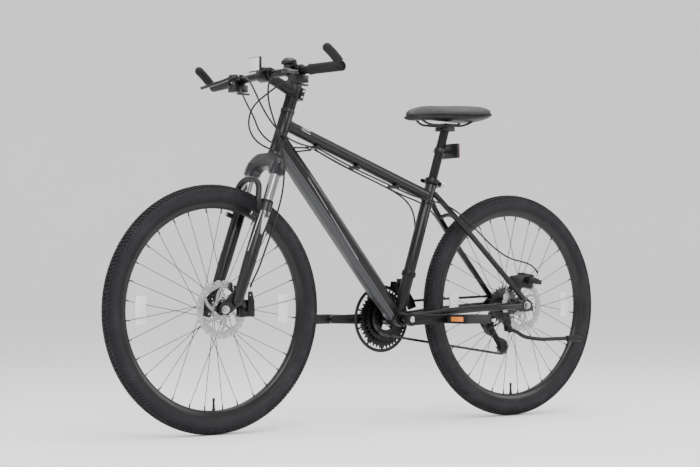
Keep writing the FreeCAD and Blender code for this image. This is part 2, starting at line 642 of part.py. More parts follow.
def cockpit():
    """Make the spacers, stem, handlebar, grips and bar ends."""
    bottom = size("head_length / 2 + cup_height") + 0.3
    step = (size("spacer_top") - bottom) / 4
    rings = [ring("spacer_radius", "steerer_radius + 0.1", step - 0.3, at(HEAD, 0, 0, bottom + number * step))
             for number in range(4)]
    keep(group(*rings), "stem")
    keep(rod(16.5, 5, at(HEAD, 0, 0, size("stem_top") + 0.2)), "stem")

    clamp = rod(19.5, "stem_top - spacer_top", at(HEAD, 0, 0, size("spacer_top")))
    reach = from_to(point(HEAD, 8, 0, 125), point(HEAD, size("stem_reach") - 10, 0, size("stem_rise") - 1))
    arm = taper(17, 14.5, 84, reach)
    eye = rod(20, 44, Placement(BAR_MIDDLE - Vector(0, 22, 0), LEFTWARD))
    ear = block(14, 30, 34, at(HEAD, -22, 0, 126))
    slot = block(24, 2.5, 60, at(HEAD, -24, 0, 126))
    bore = rod("steerer_radius + 0.05", 60, at(HEAD, 0, 0, 100))
    bar_room = rod("bar_clamp + 0.1", 60, Placement(BAR_MIDDLE - Vector(0, 30, 0), LEFTWARD))
    front_room = block(40, 60, 60, at(HEAD, size("stem_reach") + 22, 0, size("stem_rise")))
    keep(cut(fuse(clamp, arm, eye, ear), slot, bore, bar_room, front_room), "stem")
    cap = doc.addObject("Part::Common", "Faceplate")
    cap.Base = ring(20, "bar_clamp + 0.1", 44, Placement(BAR_MIDDLE - Vector(0, 22, 0), LEFTWARD))
    cap.Tool = block(40, 60, 60, at(HEAD, size("stem_reach") + 23, 0, size("stem_rise")))
    keep(cap, "stem")
    bolts = [rod(3.4, 34, at(HEAD, -22, -17, height, LEFTWARD)) for height in (117, 135)]
    keep(group(*bolts), "stem")

    half = size("bar_half")
    path = [bar_point(-half), bar_point(-40), bar_point(40), bar_point(half)]
    sleeve = Part.makeCylinder(size("bar_clamp"), 52, BAR_MIDDLE - Vector(0, 26, 0), Vector(0, 1, 0))
    bar = swept(path, size("bar_radius")).fuse(sleeve).cut(swept(path, size("bar_radius") - 1.8))
    keep(solid(bar), "handlebar")

    grips = []
    ends = []
    for way in (1, -1):
        start = size("grip_start")
        sleeve = along_bar(start, "grip_radius", "grip_length", way)
        grips.append(cut(sleeve, along_bar(start, "bar_radius + 0.05", "grip_length", way)))
        tip = bar_point(way * 320)
        path = [tip + Vector(-8, 0, -10), tip + Vector(6, way, 6), tip + Vector(28, way, 28), tip + Vector(48, 0, 44)]
        horn = swept(path, size("bar_end_radius") - 1)
        horn = horn.fuse(Part.makeSphere(size("bar_end_radius") - 1, path[-1]))
        inward = bar_point(way * 300) - bar_point(way * 160)
        room = Part.makeCylinder(size("grip_radius") + 0.1, 240, bar_point(way * 160), inward)
        ends.append(max(horn.cut(room).Solids, key=lambda left: left.Volume))
    keep(group(*grips), "grips")
    keep(solid(Part.makeCompound(ends)), "grips")


LEVER_TRAVEL = 20


def lever_frame(way):
    """Return the frame of a brake lever: X along the blade, Z along its pivot."""
    pivot = BAR_MIDDLE + Vector(20, way * 128, 6)
    along = Vector(43, way * 115, -26)
    pull = Vector(-82, 0, 18)
    axis = along.cross(pull) if way > 0 else pull.cross(along)
    return Placement(pivot, Rotation(along, Vector(0, 0, 0), axis, "XZY"))


def controls():
    """Make both brake and shift units, their levers and triggers."""
    for side, way in (("left", 1), ("right", -1)):
        y = size("control_y")
        clamp = along_bar(y - 9, 17, 18, way)
        room = along_bar(y - 40, "bar_radius + 0.1", 80, way)
        middle = bar_point(way * y)
        body = block(30, 30, 20, Placement(middle + Vector(20, -way * 10, 4), UPRIGHT))
        pod = block(42, 40, 20, Placement(middle + Vector(6, 0, -24), UPRIGHT))
        frame = lever_frame(way)
        pulled = Placement(frame.Base, frame.Rotation * Rotation(Vector(0, 0, 1), LEVER_TRAVEL * way))
        barrel = rod(5, 26, Placement(middle + Vector(26, -way * 22, 2), Rotation(Vector(1, 0, 0), 90 * way)))
        lever_room = rod(13, 9.4, at(frame, 0, 0, -4.7))
        sweep_room = [block(60, 26, 9.4, at(turned_frame, 30, 0, 0)) for turned_frame in (frame, pulled)]
        unit = cut(fuse(clamp, body, pod, barrel), room, lever_room, *sweep_room)
        keep(unit, "brake_shift_units")
        blade = plate(8, frame,
                      [(-7, -6), (20, -7), (60, -12, (40, -11)), ("lever_length - 6", -5, (95, -10)),
                       ("lever_length - 6", 6, ("lever_length", 1)), (60, 0, (95, 1)), (20, 7, (40, 3)), (-7, 7)],
                      [(0, 0, 2.6)])
        keep(blade, side + "_brake_lever")
        trigger = fuse(block(30, 12, 5, Placement(middle + Vector(-14, -way * 4, -38), UPRIGHT)),
                       rod(7, 5, Placement(middle + Vector(4, -way * 4, -40.5), UPRIGHT)))
        keep(trigger, side + "_shift_trigger")

    dome_foot = bar_point(105) + Vector(0, 0, 21)
    dome_top = taper(22, 12, 9, Placement(dome_foot + Vector(0, 0, 8), UPRIGHT))
    dome = fuse(rod(22, 8, Placement(dome_foot, UPRIGHT)), dome_top)
    keep(cut(dome, rod(20.6, 8, Placement(dome_foot, UPRIGHT))), "bell")
    strap = ring(14, "bar_radius + 0.1", 12, from_to(bar_point(99), bar_point(111)))
    post = rod(4, 12, Placement(bar_point(105) + Vector(0, 0, 13), UPRIGHT))
    base = rod(15, 4, Placement(bar_point(105) + Vector(0, 0, 14), UPRIGHT))
    keep(cut(fuse(strap, post, base), rod("bar_radius + 0.1", 20, from_to(bar_point(95), bar_point(115)))), "bell")
    striker = fuse(block(5, 14, 3, Placement(bar_point(105) + Vector(0, 29, 17), UPRIGHT)),
                   rod(4, 14, Placement(bar_point(105) + Vector(0, 28.5, 17), UPRIGHT)))
    keep(striker, "bell_striker")

    sleeve_end = ring(16, "bar_radius + 0.9", 6, Placement(BAR_MIDDLE + Vector(0, 27, 0), LEFTWARD))
    arm = block(26, 5, 10, Placement(BAR_MIDDLE + Vector(27, 29.5, 12), UPRIGHT))
    housing = block(6, 58, 40, Placement(BAR_MIDDLE + Vector(40, 6, 26), UPRIGHT))
    keep(fuse(sleeve_end, arm, housing), "front_reflector")
    lens = block(4, 54, 36, Placement(BAR_MIDDLE + Vector(45.2, 6, 26), UPRIGHT))
    keep(lens, "front_reflector")


# ---------------------------------------------------------------- drive
def pitch_radius(teeth):
    """Return the radius at which chain pins sit on a sprocket."""
    return size("chain_pitch") / (2 * math.sin(math.pi / teeth))


def sprocket(teeth, thickness, place_y, centre, bore, turn=0.0, crown=3.4):
    """Return a toothed disc whose first tooth gap stands at a turn from +X."""
    radius = pitch_radius(teeth)
    disc = Part.makeCylinder(radius + crown, thickness, Vector(0, -thickness / 2, 0), Vector(0, 1, 0))
    seats = []
    for number in range(teeth):
        angle = turn + 2 * math.pi * number / teeth
        spot = Vector(radius * math.cos(angle), -thickness, radius * math.sin(angle))
        seats.append(Part.makeCylinder(4.2, 2 * thickness, spot, Vector(0, 1, 0)))
        outward = Vector(math.cos(angle), 0, math.sin(angle))
        mouth = Part.makeCone(4.0, 7.0, 6, spot, outward)
        seats.append(mouth.translate(Vector(0, thickness, 0)) or mouth)
    hole = Part.makeCylinder(bore, 2 * thickness, Vector(0, -thickness, 0), Vector(0, 1, 0))
    made = disc.cut(Part.makeCompound(seats)).cut(hole)
    made.translate(centre + Vector(0, place_y, 0))
    return made


class ChainLine:
    """The chain's closed route over the small ring, the small cog and both pulleys, seen from the right."""

    def __init__(self):
        """Find the tension pulley's place at which the chain has a whole, even number of links."""
        self.ring = (SHELL.x, SHELL.z, size("ring_small"), 1)
        self.cog = (REAR.x, REAR.z, size("cog_small"), 1)
        self.guide = (size("guide_x"), size("guide_z"), size("pulley_teeth"), -1)
        turns = [math.radians(-150 + step * 0.02) for step in range(2500)]
        counts = [self.links_at(turn) for turn in turns]
        best = None
        for turn, count in zip(turns, counts):
            error = abs(count / 2 - round(count / 2))
            wanted = abs(turn - math.radians(-136.5))
            if error < 2e-4 and (best is None or wanted < best[0]):
                best = (wanted, turn, 2 * round(count / 2))
        self.turn = best[1]
        self.count = best[2]
        self.links_at(self.turn)

    def links_at(self, turn):
        """Lay the route with the cage at a turn and return its length in links."""
        reach = size("cage_length")
        tension = (self.guide[0] + reach * math.cos(turn), self.guide[1] + reach * math.sin(turn),
                   size("pulley_teeth"), 1)
        self.wheels = [self.ring, self.cog, self.guide, tension]
        self.tension = tension
        headings = []
        runs = []
        for first, second in zip(self.wheels, self.wheels[1:] + self.wheels[:1]):
            across = (second[0] - first[0], second[1] - first[1])
            gap = math.hypot(*across)
            offset = second[3] * pitch_radius(second[2]) - first[3] * pitch_radius(first[2])
            headings.append(math.atan2(across[1], across[0]) - math.asin(offset / gap))
            runs.append(math.sqrt(gap ** 2 - offset ** 2))
        self.spans = []
        for index, wheel_data in enumerate(self.wheels):
            entry = headings[index - 1]
            wrap = (wheel_data[3] * (headings[index] - entry)) % (2 * math.pi)
            links = wrap / (2 * math.pi) * wheel_data[2]
            self.spans.append(("wrap", wheel_data, entry, links))
            self.spans.append(("run", wheel_data, headings[index], runs[index] / size("chain_pitch")))
        return sum(span[3] for span in self.spans)

    def pin(self, place):
        """Return x and z of the chain at a place along it, counted in links."""
        for kind, (x, z, teeth, way), heading, links in self.spans:
            if place <= links:
                break
            place -= links
        turned_by = way * place * 2 * math.pi / teeth if kind == "wrap" else 0.0
        direction = heading + turned_by
        radius = way * pitch_radius(teeth)
        x += radius * math.sin(direction)
        z -= radius * math.cos(direction)
        if kind == "run":
            x += place * size("chain_pitch") * math.cos(heading)
            z += place * size("chain_pitch") * math.sin(heading)
        return x, z

    def side(self, x):
        """Return the chain's distance to the left at a distance ahead."""
        share = (x - (REAR.x + 72)) / (SHELL.x - 54 - REAR.x - 72)
        share = min(1.0, max(0.0, share))
        return size("cog_small_y") + share * (size("ring_small_y") - size("cog_small_y"))

    def pins(self):
        """Return the place of every pin."""
        spots = []
        for number in range(self.count):
            x, z = self.pin(number)
            spots.append(Vector(x, self.side(x), z))
        return spots


def chain(line):
    """Make the chain: inner links with rollers, and outer plates between them."""
    spots = line.pins()
    pitch = size("chain_pitch")

    def plates(inner, outer, width):
        """Return the pair of link plates for one link on the X axis."""
        made = []
        for low in (inner, -outer):
            slab = Part.makeBox(pitch, outer - inner, 2 * width, Vector(0, low, -width))
            for x in (0, pitch):
                slab = slab.fuse(Part.makeCylinder(width, outer - inner, Vector(x, low, 0), Vector(0, 1, 0)))
            made.append(slab)
        return made

    rollers = [Part.makeCylinder(3.87, 2.6, Vector(x, -1.3, 0), Vector(0, 1, 0)) for x in (0, pitch)]
    inner_plates = plates(1.3, 2.1, 3.7)
    inner_link = inner_plates[0].fuse(inner_plates[1]).fuse(rollers[0]).fuse(rollers[1]).removeSplitter()
    outer_link = Part.makeCompound([part.removeSplitter() for part in plates(2.3, 3.1, 3.6)])
    solids = []
    for number, start in enumerate(spots):
        end = spots[(number + 1) % len(spots)]
        along = end - start
        place = Placement(start, Rotation(along, Vector(0, 1, 0), Vector(0, 0, 0), "XYZ"))
        link = (inner_link if number % 2 == 0 else outer_link).copy()
        link.Placement = place
        solids += link.Solids
    keep(solid(Part.makeCompound(solids)), "chain")


def phase(line, index):
    """Return the turn of a tooth gap that meets a pin of the chain on one of its wheels."""
    before = sum(span[3] for span in line.spans[:2 * index])
    x, z = line.pin(math.ceil(before))
    centre = line.wheels[index]
    return math.atan2(z - centre[1], x - centre[0])


def drivetrain(line):
    """Make the chainset, freewheel, derailleurs and pedals."""
    small = sprocket(int(size("ring_small")), 2, size("ring_small_y"), SHELL, 33, phase(line, 0))
    middle = sprocket(int(size("ring_middle")), 2, size("ring_middle_y"), SHELL, 44)
    large = sprocket(int(size("ring_large")), 2.2, size("ring_large_y"), SHELL, 56)
    keep(solid(Part.makeCompound([small, middle, large])), "chainset")
    arms = []
    for number in range(5):
        turn = 2 * math.pi * number / 5
        blade = Part.makeBox(62, 4, 13, Vector(0, -2, -6.5))
        blade.translate(Vector(12, size("ring_large_y") - 4.2, 0))
        blade.rotate(Vector(0, 0, 0), Vector(0, 1, 0), math.degrees(turn))
        blade.translate(SHELL)
        arms.append(blade)
    spider = arms[0]
    for arm in arms[1:]:
        spider = spider.fuse(arm)
    outline = [(-18, -12), (10, -17, (-4, -19)), ("crank_length", -12), ("crank_length", 12, ("crank_length + 13", 0)),
               (10, 17), (-18, 12, (-4, 19))]
    for side, way in (("right", -1), ("left", 1)):
        y = size("crank_%s_y" % side)
        turn = UPRIGHT if way < 0 else Rotation(Vector(0, 1, 0), 180)
        arm = plate("crank_thickness", Placement(SHELL + Vector(0, y, 0), turn), outline,
                    [(0, 0, 6.4), ("crank_length", 0, 5.2)], "XZ_Plane")
        if way < 0:
            doc.recompute()
            keep(fuse(arm, solid(spider.cut(Part.makeCylinder(10, 200, SHELL - Vector(0, 100, 0), Vector(0, 1, 0))))),
                 "chainset")
        else:
            keep(arm, "left_crank")
    spindle = rod(8.5, 2 * 66, Placement(SHELL - Vector(0, 66, 0), LEFTWARD))
    stubs = rod(6.3, 2 * 79, Placement(SHELL - Vector(0, 79, 0), LEFTWARD))
    keep(fuse(spindle, stubs), "chainset")

    cogs = []
    teeth = (14, 16, 18, 20, 22, 24, 28)
    for number, count in enumerate(teeth):
        y = size("cog_small_y") + number * size("cog_step")
        turn = phase(line, 1) if number == 0 else 0.0
        cogs.append(sprocket(count, size("cog_thickness"), y, REAR, 15.6, turn))
    core = Part.makeCylinder(22, 6 * size("cog_step") + 4, REAR + Vector(0, size("cog_small_y") - 2, 0), Vector(0, 1, 0))
    core = core.cut(Part.makeCylinder(15.6, 60, REAR + Vector(0, -80, 0), Vector(0, 1, 0)))
    stack = core
    for cog in cogs:
        stack = stack.fuse(cog)
    keep(solid(stack), "freewheel_cogs")

    mech_y = size("cog_small_y")
    guide = Vector(line.guide[0], 0, line.guide[1])
    tension = Vector(line.tension[0], 0, line.tension[1])
    for label, centre, index in (("guide_pulley", guide, 2), ("tension_pulley", tension, 3)):
        toothed = sprocket(int(size("pulley_teeth")), 2, mech_y, centre, 4.2, phase(line, index), 0.6)
        keep(solid(toothed), label)
    run = tension - guide
    sides = []
    for low in (mech_y + 4.6, mech_y - 6.4):
        slab = Part.makeBox(run.Length, 1.8, 15, Vector(0, low, -7.5))
        for x in (0, run.Length):
            slab = slab.fuse(Part.makeCylinder(10, 1.8, Vector(x, low, 0), Vector(0, 1, 0)))
        sides.append(slab)
    for x in (0, run.Length):
        sides.append(Part.makeCylinder(4, 11, Vector(x, mech_y - 5.5, 0), Vector(0, 1, 0)))
    cage = sides[0]
    for part in sides[1:]:
        cage = cage.fuse(part)
    cage.Placement = Placement(guide, Rotation(run, Vector(0, 1, 0), Vector(0, 0, 0), "XYZ"))
    keep(solid(cage), "rear_derailleur_cage")

    knuckle = rod(10, 20, Placement(REAR + Vector(0, -74.2, -30), Rotation(Vector(1, 0, 0), 90)))
    bolt = rod(5, 26, Placement(REAR + Vector(0, -68, -30), Rotation(Vector(1, 0, 0), 90)))
    lug = block(30, 14, 14, Placement(REAR + Vector(8, -86, -38), Rotation(Vector(0, 1, 0), 30)))
    link_turn = Rotation(Vector(0, 1, 0), 40)
    link_places = [Placement(Vector(-508, y, 290), link_turn) for y in (-82, -90)]
    keep(cut(fuse(knuckle, bolt, lug), *[block(38, 3.6, 13, place) for place in link_places]),
         "rear_derailleur_body")
    keep(group(*[block(34, 3, 12, place) for place in link_places]), "rear_derailleur_links")
    swing = fuse(rod(11, 18, Placement(guide + Vector(0, mech_y - 6.8, 0), Rotation(Vector(1, 0, 0), 90))),
                 block(16, 16, 14, Placement(guide + Vector(8, mech_y - 16, 6), UPRIGHT)))
    keep(cut(swing, *[block(38, 3.6, 13, place) for place in link_places]), "rear_derailleur_cage_knuckle")

    front_derailleur()
    pedals()


def front_derailleur():
    """Make the front derailleur's clamp on the seat tube and the cage over the rings."""
    clamp = ring("seat_tube_radius + 4", "seat_tube_radius + 0.1", 14, at(SEAT, 0, 0, 132))
    lug = block(20, 12, 22, at(SEAT, -14, -24, 139))
    room = rod("seat_tube_radius + 0.1", 60, at(SEAT, 0, 0, 100))
    keep(cut(fuse(clamp, lug), room), "front_derailleur_clamp")
    sides = []
    for low, thickness, inner in ((-49.5, 1.5, 91), (-37, 1.5, 84)):
        band = Part.makeCylinder(114, thickness, SHELL + Vector(0, low, 0), Vector(0, 1, 0))
        band = band.cut(Part.makeCylinder(inner, thickness, SHELL + Vector(0, low, 0), Vector(0, 1, 0)))
        wedge = Part.makePolygon([Vector(0, low, 0), Vector(-30, low, 140), Vector(-140, low, 140),
                                  Vector(-190, low, 58), Vector(0, low, 0)])
        prism = Part.Face(wedge).extrude(Vector(0, thickness, 0))
        prism.translate(SHELL)
        sides.append(band.common(prism))
    top = Part.makeBox(22, 14, 2, Vector(-60, -49.5, 110))
    top.rotate(Vector(0, 0, 0), Vector(0, 1, 0), -8)
    top.translate(SHELL + Vector(2, 0, -14))
    tail = Part.makeCylinder(2.5, 14, SHELL + Vector(-103, -49.5, 39), Vector(0, 1, 0))
    cage = sides[0].fuse(sides[1]).fuse(top).fuse(tail)
    arm = Part.makeBox(16, 14, 30, SHELL + Vector(-58, -46, 88))
    keep(solid(cage.fuse(arm)), "front_derailleur_cage")


def pedals():
    """Make both pedals with their spindles and reflectors."""
    for side, way in (("right", -1), ("left", 1)):
        centre = SHELL + Vector(-way * size("crank_length"), 0, 0)
        y = size("crank_%s_y" % side)
        out = Rotation(Vector(1, 0, 0), -90 * way)
        inner = size("pedal_inner")
        spindle = rod(5, 24, Placement(centre + Vector(0, y - way * 6, 0), out))
        middle = centre + Vector(0, way * (inner + size("pedal_width") / 2), 0)
        frame = block("pedal_length", "pedal_width", "pedal_height", Placement(middle, UPRIGHT))
        windows = [block(24, "pedal_width - 22", 60, Placement(middle + Vector(x, 0, 0), UPRIGHT)) for x in (-26, 26)]
        barrel = rod(9, "pedal_width - 10", Placement(middle - Vector(0, way * (size("pedal_width") / 2 - 5), 0), out))
        recess = [block(6, 56, 15, Placement(middle + Vector(x, 0, 0), UPRIGHT))
                  for x in (size("pedal_length") / 2, -size("pedal_length") / 2)]
        body = fuse(cut(frame, *windows, *recess), barrel, spindle)
        keep(body, side + "_pedal")
        lenses = [block(2.6, 55, 14, Placement(middle + Vector(x, 0, 0), UPRIGHT))
                  for x in (size("pedal_length") / 2 - 1.6, -size("pedal_length") / 2 + 1.6)]
        keep(group(*lenses), side + "_pedal")


# ---------------------------------------------------------------- seat
def seat():
    """Make the seat post, its rear reflector and the saddle."""
    head = size("post_head")
    tube = ring("post_radius", "post_radius - 2.2", "post_length", at(SEAT, 0, 0, head - size("post_length")))
    yoke = block(44, 40, 12, Placement(point(SEAT, 0, 0, head), UPRIGHT))
    keep(fuse(tube, yoke), "seat_post")
    top = point(SEAT, 0, 0, head) + Vector(0, 0, 10.5)
    plates = block(40, 56, 8, Placement(top + Vector(0, 0, 2), UPRIGHT))
    grooves = [rod("rail_radius + 0.1", 80, Placement(top + Vector(-40, way * 22, 0), FORWARD)) for way in (1, -1)]
    keep(cut(plates, *grooves), "seat_post")
    rails = []
    for way in (1, -1):
        path = [Vector(-160, way * 9, 908), Vector(-200, way * 18, top.z), Vector(-240, way * 22, top.z),
                Vector(-335, way * 22, top.z), Vector(-388, way * 34, 912)]
        rails.append(swept(path, size("rail_radius")))
    sections = []
    base_sections = []
    for x, half_width, half_height, middle in ((-129, 10, 7, 906), (-142, 17, 14, 909), (-190, 21, 19, 916),
                                               (-250, 31, 21, 919), (-310, 56, 23, 920), (-365, 79, 23, 921),
                                               (-405, 74, 19, 924), (-420, 52, 10, 926)):
        oval = Part.Ellipse(Vector(x, half_width, middle), Vector(x, 0, middle + half_height), Vector(x, 0, middle))
        sections.append(Part.Wire(oval.toShape()))
        under = Part.Ellipse(Vector(x, half_width * 0.93, middle - 6), Vector(x, 0, middle - 6 + half_height * 0.85),
                             Vector(x, 0, middle - 6))
        base_sections.append(Part.Wire(under.toShape()))
    cover = Part.makeLoft(sections, True, False)
    base = Part.makeLoft(base_sections, True, False).cut(cover)
    rail_tool = rails[0].fuse(rails[1])
    keep(solid(cover), "saddle_cover")
    keep(solid(base.cut(rail_tool)), "saddle_base")
    keep(solid(Part.makeCompound([rail.cut(cover) for rail in rails])), "saddle_base")

    middle = point(SEAT, 0, 0, (804 - SEAT_FOOT.z) / math.sin(math.radians(size("seat_angle"))))
    strap_place = Placement(middle - SEAT.Rotation.multVec(Vector(0, 0, 7)), SEAT.Rotation)
    strap = ring(17.5, "post_radius + 0.1", 14, strap_place)
    arm = block(30, 10, 10, Placement(middle + Vector(-28, 0, 0), UPRIGHT))
    housing = block(9, 76, 44, Placement(middle + Vector(-42, 0, 2), UPRIGHT))
    room = rod("post_radius + 0.1", 60, Placement(middle - SEAT.Rotation.multVec(Vector(0, 0, 30)), SEAT.Rotation))
    keep(cut(fuse(strap, arm, housing), room), "rear_reflector")
    keep(block(4, 71, 39, Placement(middle + Vector(-48.6, 0, 2), UPRIGHT)), "rear_reflector")


# ---------------------------------------------------------------- cables
CABLE = 2.5


def cable(points, label):
    """Make one cable housing along a route."""
    keep(solid(swept(points, CABLE, label)), label)


def cables():
    """Make the housings that loop in front of the head tube and those held along the frame."""
    stop = 200
    brake_loop = [Vector(385, -101, 991), Vector(392, -70, 989), Vector(404, -32, 976), Vector(412, 4, 948),
                  Vector(406, 28, 905), Vector(382, 36, 862), Vector(342, 33, 826), Vector(288, 24, 805),
                  Vector(240, 15, 797), Vector(stop + 13, 12, 794)]
    gear_loop = [Vector(372, -126, 966), Vector(396, -92, 962), Vector(418, -50, 944), Vector(424, -14, 908),
                 Vector(410, 2, 870), Vector(384, -14, 834), Vector(336, -29, 805), Vector(284, -28, 794),
                 Vector(242, -20, 794), Vector(stop + 13, -14, 795)]
    front_gear_loop = [Vector(372, 126, 966), Vector(386, 98, 956), Vector(402, 62, 934), Vector(432, 26, 898),
                       Vector(428, -4, 852), Vector(394, -27, 812), Vector(340, -36, 788), Vector(288, -29, 780),
                       Vector(244, -11, 783), Vector(stop + 13, -2, 789)]
    loops = [swept(brake_loop, CABLE, "brake loop"), swept(gear_loop, CABLE, "gear loop"),
             swept(front_gear_loop, CABLE, "front gear loop")]
    keep(solid(Part.makeCompound(loops)), "steering_cables")
    cable([Vector(385, 100, 991), Vector(400, 84, 984), Vector(414, 78, 958), Vector(415, 78, 912),
           Vector(402, 84, 862), Vector(386, 92, 810), Vector(374, 95, 756), Vector(371, 93, 702),
           Vector(374, 86, 650), Vector(385, 77, 598), Vector(400, 70, 546), Vector(419, 66, 494),
           Vector(438, 64.5, 446), Vector(456, 64.5, 418), Vector(464, 65, 400)], "front_brake_cable")
    cable([Vector(stop, 12, 793), Vector(140, 15, 765), Vector(72, 16, 739), Vector(2, 16.5, 715),
           Vector(-70, 17.5, 690), Vector(-138, 20, 666), Vector(-200, 26, 654), Vector(-254, 38, 642),
           Vector(-302, 54, 610), Vector(-352, 66, 563), Vector(-408, 74, 514), Vector(-466, 79, 482),
           Vector(-528, 80, 472), Vector(-566, 79.5, 459), Vector(-583, 78.4, 439)], "frame_cables")
    cable([Vector(stop, -2, 789), Vector(136, -3, 762), Vector(66, -4, 735), Vector(-4, -5, 710),
           Vector(-72, -7, 686), Vector(-134, -14, 660), Vector(-176, -26, 626), Vector(-188, -29, 576),
           Vector(-178, -28, 524), Vector(-164, -27, 480), Vector(-156, -25.5, 448)], "frame_cables")
    cable([Vector(stop, -14, 794), Vector(138, -18, 767), Vector(70, -19.5, 741), Vector(0, -20.5, 717),
           Vector(-70, -20.5, 691), Vector(-138, -23, 668), Vector(-202, -30, 652), Vector(-256, -42, 630),
           Vector(-304, -57, 592), Vector(-354, -68, 540), Vector(-406, -75, 488), Vector(-456, -80, 436),
           Vector(-508, -87, 392), Vector(-566, -94, 364), Vector(-604, -98, 328), Vector(-594, -99, 284),
           Vector(-560, -97, 272)], "frame_cables")
    stops = []
    for side in (12, -2, -14):
        stops.append(ring(4.2, CABLE + 0.1, 8, Placement(Vector(stop + 1, side, 793 if side != -2 else 789.5),
                                                         FORWARD)))
    plate_top = block(14, 34, 5, Placement(Vector(stop + 4, -1, 800), Rotation(Vector(0, 1, 0), -20)))
    top_tube = pieces["top_tube"][0]
    rooms = [rod(CABLE + 0.1, 60, Placement(Vector(stop - 30, side, 793 if side != -2 else 789.5), FORWARD))
             for side in (12, -2, -14)]
    keep(cut(fuse(plate_top, *stops), top_tube, *rooms), "frame_cables")


# ---------------------------------------------------------------- the whole bike
def write_nodes():
    """Check every object and write each node to its own file."""
    nodes = []
    for label, parts in pieces.items():
        node = parts[0] if len(parts) == 1 else group(*parts)
        node.Label = label
        nodes.append(node)
    doc.recompute()
    for thing in doc.Objects:
        if "Invalid" in thing.State or "Error" in thing.State:
            raise RuntimeError("%s (%s) is %s" % (thing.Name, thing.Label, thing.State))
    for node in nodes:
        if node.Shape.isNull() or not node.Shape.isValid() or not node.Shape.Solids:
            raise RuntimeError(node.Label + " has no valid shape")
    os.makedirs("parts", exist_ok=True)
    for node in nodes:
        node.Shape.exportStep("parts/%s.step" % node.Label)
    print(len(nodes), "nodes written")


def main():
    """Build the bike from the frame outwards."""
    seat_room = frame_tubes()
    doc.recompute()
    frame_stays(seat_room)
    frame_fittings()
    kickstand()
    wheel("front", FRONT, 28, -28, size("front_rotor_y"))
    wheel("rear", REAR, 34, -21, size("rear_rotor_y"))
    hubs_and_axles()
    fork()
    brake("front", FRONT + Vector(0, size("front_rotor_y"), 0), 178, -1)
    brake("rear", REAR + Vector(0, size("rear_rotor_y"), 0), 100, 1)
    cockpit()
    controls()
    line = ChainLine()
    print("chain links", line.count, "cage turn", round(math.degrees(line.turn), 2),
          "tension pulley", [round(value, 1) for value in line.tension[:2]])
    chain(line)
    drivetrain(line)
    seat()
    cables()
    write_nodes()


main()
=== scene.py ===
"""Looks of a hardtail mountain bike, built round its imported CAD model.

Every length is in metres: +X forward, +Y to the rider's left, +Z up, origin on the ground between the wheels.
"""
import logging
import math
from dataclasses import dataclass, field
from enum import Enum
from typing import Callable, Iterable, Sequence

import bmesh
import bpy
from mathutils import Euler, Matrix, Vector


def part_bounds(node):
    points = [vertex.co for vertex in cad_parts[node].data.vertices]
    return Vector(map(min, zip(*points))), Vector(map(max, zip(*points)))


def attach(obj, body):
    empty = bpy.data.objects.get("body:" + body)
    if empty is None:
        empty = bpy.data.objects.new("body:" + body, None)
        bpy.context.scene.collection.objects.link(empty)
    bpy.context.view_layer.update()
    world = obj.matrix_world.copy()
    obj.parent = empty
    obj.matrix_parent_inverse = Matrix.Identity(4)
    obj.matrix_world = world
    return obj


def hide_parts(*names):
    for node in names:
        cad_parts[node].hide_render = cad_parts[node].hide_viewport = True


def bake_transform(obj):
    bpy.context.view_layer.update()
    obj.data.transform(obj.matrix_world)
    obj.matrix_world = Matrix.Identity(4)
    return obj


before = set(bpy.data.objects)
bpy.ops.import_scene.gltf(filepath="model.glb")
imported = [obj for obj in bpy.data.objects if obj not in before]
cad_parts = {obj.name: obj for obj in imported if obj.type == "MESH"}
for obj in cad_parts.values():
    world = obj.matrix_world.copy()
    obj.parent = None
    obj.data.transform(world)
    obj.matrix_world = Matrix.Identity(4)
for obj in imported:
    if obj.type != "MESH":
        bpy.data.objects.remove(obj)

LOG = logging.getLogger("mountain_bike")
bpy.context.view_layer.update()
MM = 0.001
Colour = tuple[float, float, float]
Point = tuple[float, float, float]


class Axle(Enum):
    """The two wheels of the bike."""

    FRONT = "front"
    REAR = "rear"


class Side(Enum):
    """The rider's left and right, as the sign of Y."""

    LEFT = 1
    RIGHT = -1

    @property
    def word(self) -> str:
        """The side's name in lower case."""
        return self.name.lower()


# ---------------------------------------------------------------- shader expressions
class Term:
    """A value inside a material: a socket with arithmetic."""

    def __init__(self, graph: "Graph", socket: bpy.types.NodeSocket) -> None:
        """Wrap a socket of a graph."""
        self.graph = graph
        self.socket = socket

    def _join(self, operation: str, first: "Term | float", second: "Term | float") -> "Term":
        """Add one Math node that works on two terms or numbers."""
        return self.graph.add("ShaderNodeMath", {"operation": operation}, {0: first, 1: second})

    def __add__(self, other: "Term | float") -> "Term":
        """Return the sum."""
        return self._join("ADD", self, other)

    __radd__ = __add__

    def __sub__(self, other: "Term | float") -> "Term":
        """Return the difference."""
        return self._join("SUBTRACT", self, other)

    def __rsub__(self, other: float) -> "Term":
        """Return a number less this term."""
        return self._join("SUBTRACT", other, self)

    def __mul__(self, other: "Term | float") -> "Term":
        """Return the product."""
        return self._join("MULTIPLY", self, other)

    __rmul__ = __mul__

    def __truediv__(self, other: "Term | float") -> "Term":
        """Return the quotient."""
        return self._join("DIVIDE", self, other)

    def __pow__(self, other: float) -> "Term":
        """Return this term raised to a power."""
        return self._join("POWER", self, other)

    def above(self, level: float) -> "Term":
        """Return 1 where this term is above a level and 0 elsewhere."""
        return self._join("GREATER_THAN", self, level)

    def ramp(self, low: float, high: float) -> "Term":
        """Return 0 at the low value and 1 at the high one, clamped and smooth between them."""
        settings = {"interpolation_type": "SMOOTHSTEP"}
        inputs = {"Value": self, "From Min": low, "From Max": high}
        return self.graph.add("ShaderNodeMapRange", settings, inputs)

    def sine(self) -> "Term":
        """Return the sine."""
        return self._join("SINE", self, 0.0)


